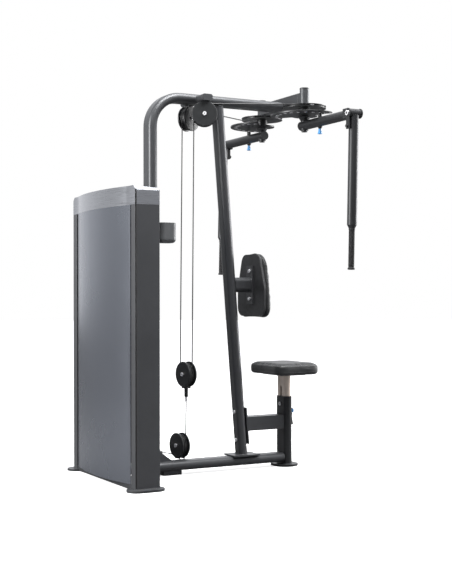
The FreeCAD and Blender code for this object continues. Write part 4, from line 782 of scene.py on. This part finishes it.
def evenly(points, pitch):
    """The closed line through points, cut again at an even pitch."""
    made = []
    carried = 0.0
    for start, end in zip(points, points[1:] + points[:1]):
        length = (end - start).length
        while carried < length:
            made.append(start.lerp(end, carried / length))
            carried += pitch
        carried -= length
    return made


def welt(name, ring, body):
    """A vinyl piping laid in the cushion's side."""
    work = bmesh.new()
    sweep(work, evenly(ring, 6 * MM), 1.5 * MM, 8, closed=True)
    new_piece(name, mesh_of(work, name), body, "pad_vinyl", VINYL)


def stitches(name, ring, middle, body):
    """A row of single thread stitches, their light grey a painted highlight along the stitching."""
    work = bmesh.new()
    spots = evenly(ring, 3 * MM)
    for start, end in list(zip(spots, spots[1:]))[::2]:
        outward = ((start + end) / 2 - middle).normalized() * 0.3 * MM
        bow = (start + end) / 2 + outward * 2
        sweep(work, [start - outward, bow, end - outward], 0.5 * MM, 5)
    new_piece(name, mesh_of(work, name), body, "pad_vinyl", THREAD_HIGHLIGHT)


# ---------------------------------------------------------------- cables

def side_heading(side):
    """The level direction from a top pulley to its cam."""
    axis = PULLEYS["near_top" if side == NEAR else "far_top"][1]
    heading = axis.cross(UP)
    return heading.normalized()


def make_cables():
    turn = PULLEYS["floating"][1]
    spread = turn.cross(UP).normalized()
    floating = PULLEYS["floating"][0]
    rise = JOINTS["floating_lift"]["range_m"][1]
    top_parts = bmesh.new()
    strand_parts = bmesh.new()
    for word, side in SIDES:
        centre, _ = PULLEYS[f"{word}_top"]
        heading = side_heading(side)
        hub = Vector((HUB_X, side * HUB_Y, centre.z))
        reach = (hub - centre).dot(heading)
        top = centre + UP * GROOVE
        run_end = top + heading * reach
        exit_point = centre - heading * GROOVE
        sweep(top_parts, [run_end, top + heading * 0.5 * reach, top]
              + arc_points(centre, UP * GROOVE, -heading * GROOVE)[1:], CABLE_HALF, 12)
        foot = floating + spread * (-side * GROOVE)
        steps = [exit_point.lerp(foot, part / 12) for part in range(13)]
        sweep(strand_parts, steps, CABLE_HALF, 12)
        make_cam_wrap(word, side, hub)
    new_piece("arm_cable_runs", mesh_of(top_parts, "arm_cable_runs"), "frame", "cable_coat", CABLE,
              replaces=["top_cables"])
    strands = new_piece("arm_cable_strands", mesh_of(strand_parts, "arm_cable_strands"), "frame",
                        "cable_coat", CABLE, replaces=["long_strands"])
    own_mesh(strands)
    loop = arc_points(floating, spread * GROOVE, DOWN * GROOVE) + arc_points(
        floating, DOWN * GROOVE, -spread * GROOVE)[1:]
    tube("arm_cable_loop", loop, CABLE_HALF, "floating_block", "cable_coat", CABLE,
         replaces=["floating_loop"])
    make_stack_cable(rise)


def make_cam_wrap(word, side, hub):
    """The cable in the cam's groove and the clamp that holds its end."""
    centre = Vector((hub.x, hub.y, PULLEYS["near_top"][0].z + GROOVE))
    first, last, count = math.radians(220), math.radians(100), 40
    points = []
    for step in range(count + 1):
        angle = side * (first + (last - first) * step / count)
        points.append(centre + Vector((math.cos(angle), math.sin(angle), 0)) * CAM_CABLE)
    tube(f"{word}_cam_cable", points, CABLE_HALF * 0.99, f"{word}_cam", "cable_coat", CABLE)
    turned(f"{word}_cable_clamp", points[-1], (points[-1] - points[-2]).normalized(),
           [(4.2 * MM, -9 * MM), (5.2 * MM, -8 * MM), (5.2 * MM, 8 * MM), (4.2 * MM, 9 * MM)],
           f"{word}_cam", "plain_steel", ZINC, count=20)


def make_stack_cable(rise):
    low, axis = PULLEYS["lower"]
    spread = axis.cross(UP).normalized()
    tangent = low + spread * GROOVE
    yoke_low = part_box("floating_yoke")[0].z
    floating = PULLEYS["floating"][0]
    stem = Vector((floating.x, floating.y, yoke_low))
    fixed = [tangent.lerp(stem, part / 6) for part in range(7)]
    tube("lower_cable_fixed", fixed, CABLE_HALF, "frame", "cable_coat", CABLE, replaces=["lower_strand"])
    inside = CABLE_HALF * 0.82
    start = stem + (tangent - stem) * 0.02
    down = start + (tangent - stem) * 0.86
    tube("lower_cable_riding", [start.lerp(down, part / 6) for part in range(7)], inside,
         "floating_block", "cable_coat", CABLE)
    ferrule = [(3.4 * MM, -26 * MM), (5.5 * MM, -24 * MM), (5.5 * MM, -4 * MM), (7 * MM, -2 * MM),
               (7 * MM, 2 * MM)]
    turned("lower_cable_ferrule", stem, UP, ferrule, "floating_block", "plain_steel", ZINC, count=24)

    corner = PULLEYS["corner"][0]
    foot = PULLEYS["tower_foot"][0]
    outer = PULLEYS["head_outer"][0]
    inner = PULLEYS["head_inner"][0]
    outside = axis
    across = Vector((0, 1, 0))
    along = Vector((1, 0, 0))
    route = arc_points(low, spread * GROOVE, DOWN * GROOVE)
    route += arc_points(corner, outside * GROOVE, across * GROOVE)
    route += arc_points(foot, DOWN * GROOVE, -along * GROOVE)
    route += arc_points(outer, across * GROOVE, UP * GROOVE)
    route += arc_points(inner, UP * GROOVE, -across * GROOVE)
    tube("base_cable_run", route, CABLE_HALF, "frame", "cable_coat", CABLE, replaces=["base_cable"])

    strand_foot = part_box("stack_strand")[0].z
    top = Vector((inner.x, inner.y - GROOVE, inner.z))
    bottom = Vector((inner.x, inner.y - GROOVE, strand_foot))
    strand = tube("stack_cable_strand", [top.lerp(bottom, part / 8) for part in range(9)], CABLE_HALF,
                  "frame", "cable_coat", CABLE, replaces=["stack_strand"])
    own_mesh(strand)


# ---------------------------------------------------------------- grips, knobs and bolts

def handle_axis(word):
    """The handle's pivot and the downward direction of its tube, raked towards the tower."""
    pivot = Vector(JOINTS[f"{word}_handle_swing"]["pos_m"])
    return pivot, Matrix.Rotation(math.radians(1.4), 3, "Y") @ DOWN


def make_grips():
    """Ribbed rubber grips with a moulded end ring."""
    for word, _ in SIDES:
        pivot, down = handle_axis(word)
        start, end = 579 * MM, 784 * MM
        ridge, valley = 15.5 * MM, 14.3 * MM
        outline = [(14.0 * MM, start), (16.2 * MM, start + 0.5 * MM), (16.2 * MM, start + 8 * MM),
                   (14.6 * MM, start + 9 * MM)]
        height = start + 12 * MM
        pitch = 5.0 * MM
        while height < end - 18 * MM:
            outline += [(valley, height), (ridge, height + 0.8 * MM), (ridge, height + 3.0 * MM),
                        (valley, height + 3.8 * MM)]
            height += pitch
        outline += [(15.2 * MM, end - 10 * MM), (18 * MM, end - 8 * MM), (18 * MM, end - 2.5 * MM),
                    (16.5 * MM, end - 0.4 * MM), (13 * MM, end)]
        turned(f"{word}_ribbed_grip", pivot, down, outline, f"{word}_handle", "grip_rubber", RUBBER,
               replaces=[f"{word}_grip"], count=36)


def make_pull_knobs():
    """Steel pop pins with a flared blue knob."""
    for word, _ in SIDES:
        low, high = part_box(f"{word}_pull_pin")
        base = Vector(((low.x + high.x) / 2, (low.y + high.y) / 2, low.z))
        knob = [(8 * MM, 0), (11.4 * MM, 0.6 * MM), (12.2 * MM, 2.2 * MM), (12.0 * MM, 5 * MM),
                (9.4 * MM, 13 * MM), (8.0 * MM, 20 * MM), (7.7 * MM, 25 * MM), (7.2 * MM, 27.6 * MM),
                (5.2 * MM, 28.4 * MM)]
        turned(f"{word}_blue_knob", base, UP, knob, f"{word}_pull_pin", "blue_knob", BLUE,
               replaces=[f"{word}_pull_pin"])
        tip = high.z - low.z
        shaft = [(4.9 * MM, 26 * MM), (4.95 * MM, tip - 4 * MM), (4.4 * MM, tip - 1 * MM), (3.6 * MM, tip)]
        turned(f"{word}_pop_pin", base, UP, shaft, f"{word}_pull_pin", "plain_steel", ZINC, count=28)


def hexagon(work, centre, axis, radius, thick):
    """A thin six-sided plate."""
    lathe(work, centre, axis, [(radius, 0), (radius, thick)], 6)


def make_socket_shades():
    """Thin near-black hexagon plates on the bolt heads: painted shade where the sockets' recesses would be.
    """
    for name, body, spots in socket_places():
        work = bmesh.new()
        for centre, axis, radius in spots:
            hexagon(work, centre, axis, radius, 0.25 * MM)
        new_piece(name, mesh_of(work, name), body, "dark_steel", PAINTED_SHADE, smooth=False)


def socket_places():
    """Each riding body's bolt heads: face centre, outward axis and socket radius."""
    head = 30.02 * MM
    fixed = []
    for word in ("near_top", "far_top", "lower"):
        centre, axis = PULLEYS[word]
        fixed += [(centre + axis * head, axis, SOCKET), (centre - axis * head, -axis, SOCKET)]
    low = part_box("chest_pad_board")[0]
    back = -Vector((1, 0, 0))
    for height in (PAD_MIDDLE + PAD_BOLT_GAP, PAD_MIDDLE - PAD_BOLT_GAP):
        fixed.append((Vector((low.x - 14.02 * MM, 0, height)), back, SOCKET))
    fixed.append((Vector((SLEEVE_FACE - 6.02 * MM, 0, GUIDE_BOLT_Z)), back, SOCKET))
    yield "frame_socket_shades", "frame", fixed
    centre, axis = PULLEYS["floating"]
    yield "floating_socket_shades", "floating_block", [(centre + axis * head, axis, SOCKET),
                                                 (centre - axis * head, -axis, SOCKET)]
    for word, _ in SIDES:
        pivot = Vector(JOINTS[f"{word}_handle_swing"]["pos_m"])
        yield (f"{word}_axle_socket_shade", f"{word}_arm",
               [(pivot - Vector((45.02 * MM, 0, 0)), back, 6.5 * MM)])


def make_eyelets():
    """Bright bushes pressed into the row of start holes."""
    for word, side in SIDES:
        low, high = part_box(f"{word}_hole_plate")
        work = bmesh.new()
        for index in range(11):
            angle = side * math.radians(90 + 15 * (index - 1))
            spot = Vector((HUB_X + HOLE_RING * math.cos(angle),
                           side * HUB_Y + HOLE_RING * math.sin(angle), 0))
            for level, axis in ((low.z, DOWN), (high.z, UP)):
                washer(work, Vector((spot.x, spot.y, level)), axis, 5.4 * MM, 9.0 * MM, 0.9 * MM)
        name = f"{word}_hole_bushes"
        new_piece(name, mesh_of(work, name), f"{word}_cam", "plain_steel", BUSH)


def washer(work, centre, axis, bore, radius, thick, count=20):
    """A flat ring standing on a face."""
    side, across = basis(axis)
    rings = []
    for reach, level in ((bore, 0), (bore, thick), (radius - 0.6 * MM, thick), (radius, 0)):
        rings.append([work.verts.new(centre + axis * level
                                     + (side * math.cos(2 * math.pi * step / count)
                                        + across * math.sin(2 * math.pi * step / count)) * reach)
                      for step in range(count)])
    for low, high in zip(rings, rings[1:]):
        for step in range(count):
            following = (step + 1) % count
            work.faces.new((low[step], low[following], high[following], high[step]))


def oval_loop(middle, first, second, long_side, short_side, count=64):
    """Points round a flat oval: first is its short direction, second its long one."""
    radius = short_side / 2
    straight = (long_side - short_side) / 2
    points = []
    for step in range(count):
        angle = 2 * math.pi * step / count
        lift = math.copysign(straight, math.sin(angle)) if abs(math.sin(angle)) > 1e-6 else 0
        points.append(middle + first * radius * math.cos(angle)
                      + second * (radius * math.sin(angle) + lift))
    return points


def weld(name, points, body, radius=2.6 * MM, closed=True):
    """A painted weld bead: a rippled cord along a joint."""
    spots = evenly(points, 2.2 * MM) if closed else points
    sizes = []
    for index in range(len(spots)):
        waver = noise.noise(Vector((index * 0.37, 0, 0)))
        sizes.append(radius * (0.92 + 0.10 * math.sin(index * 1.9) + 0.08 * waver))
    work = bmesh.new()
    sweep(work, spots, sizes, 8, closed=closed)
    new_piece(name, mesh_of(work, name), body, "frame_paint", FRAME)


def make_welds():
    """Beads where the tubes meet their plates."""
    x, y, z = Vector((1, 0, 0)), Vector((0, 1, 0)), Vector((0, 0, 1))
    # name, middle, short direction, long direction, long side, short side, bead radius
    ovals = (("sleeve_weld", (0.494, 0, 0.0125), x, y, 0.112, 0.050, 2.6),
             ("upright_foot_weld", (0.221, 0, 0.0815), x, y, 0.082, 0.0501, 2.6),
             ("upright_head_weld", (0.077, 0, 1.9495), x, y, 0.082, 0.0501, 2.2),
             ("leg_weld", (-0.318, 0, 0.0733), x, y, 0.100, 0.050, 2.6),
             ("pad_arm_weld", (0.2738, 0, PAD_MIDDLE), y, z, 0.080, 0.050, 2.4))
    for name, middle, first, second, long_side, short_side, radius in ovals:
        loop = oval_loop(Vector(middle), first, second, long_side, short_side)
        weld(name, loop, "frame", radius * MM)
    for word, side in SIDES:
        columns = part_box("tower_columns")
        near_y, far_y = side * 0.413, side * 0.357
        corners = [Vector((-0.580, near_y, 0.0125)), Vector((columns[1].x, near_y, 0.0125)),
                   Vector((columns[1].x, far_y, 0.0125)), Vector((-0.586, far_y, 0.0125)),
                   Vector((-0.586, side * 0.407, 0.0125)), Vector((-0.580, side * 0.407, 0.0125))]
        weld(f"{word}_column_weld", corners, "frame")
        hub = Vector((HUB_X, side * HUB_Y, 0))
        sleeve = [hub + Vector((20.3 * MM * math.cos(step * math.pi / 16),
                                20.3 * MM * math.sin(step * math.pi / 16), ARM_Z - 25.5 * MM))
                  for step in range(32)]
        weld(f"{word}_arm_weld", sleeve, f"{word}_arm", 2.0 * MM)
        bar = [Vector((HUB_X - 0.0252, side * (HUB_Y - 0.0252), 1.963 + 0.058 * step / 24))
               for step in range(25)]
        weld(f"{word}_hub_weld", bar, "frame", 2.4 * MM, closed=False)


def make_trims():
    """The panel's folded near edge and the lever's blue buttons."""
    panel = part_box("front_shroud")
    work = bmesh.new()
    low = Vector((-0.5885, -0.3552, panel[0].z + 2 * MM))
    high = Vector((-0.5868, -0.3366, panel[1].z - 1 * MM))
    box_at(work, low, high)
    new_piece("panel_fold", mesh_of(work, "panel_fold"), "frame", "shroud_paint", PANEL, smooth=False)
    axle = Vector(JOINTS["seat_lever_swing"]["pos_m"])
    button = [(7.5 * MM, 0), (9.5 * MM, 0.8 * MM), (9.8 * MM, 3.2 * MM), (8.6 * MM, 4.8 * MM),
              (5 * MM, 5.4 * MM)]
    for word, side in SIDES:
        turned(f"{word}_lever_button", axle + Vector((0, side * 23.1 * MM, 0)), Vector((0, side, 0)),
               button, "seat_lever", "blue_knob", BLUE)


def box_at(work, low, high):
    """A box between two corners."""
    made = bmesh.ops.create_cube(work, size=1)
    size = high - low
    for vertex in made["verts"]:
        vertex.co = Vector([low[axis] + (vertex.co[axis] + 0.5) * size[axis] for axis in range(3)])


# ---------------------------------------------------------------- make it

make_camera()
make_light()
make_stage()
dress_frame()
make_seat_pad()
make_chest_pad()
make_cables()
make_grips()
make_pull_knobs()
make_socket_shades()
make_eyelets()
make_welds()
make_trims()
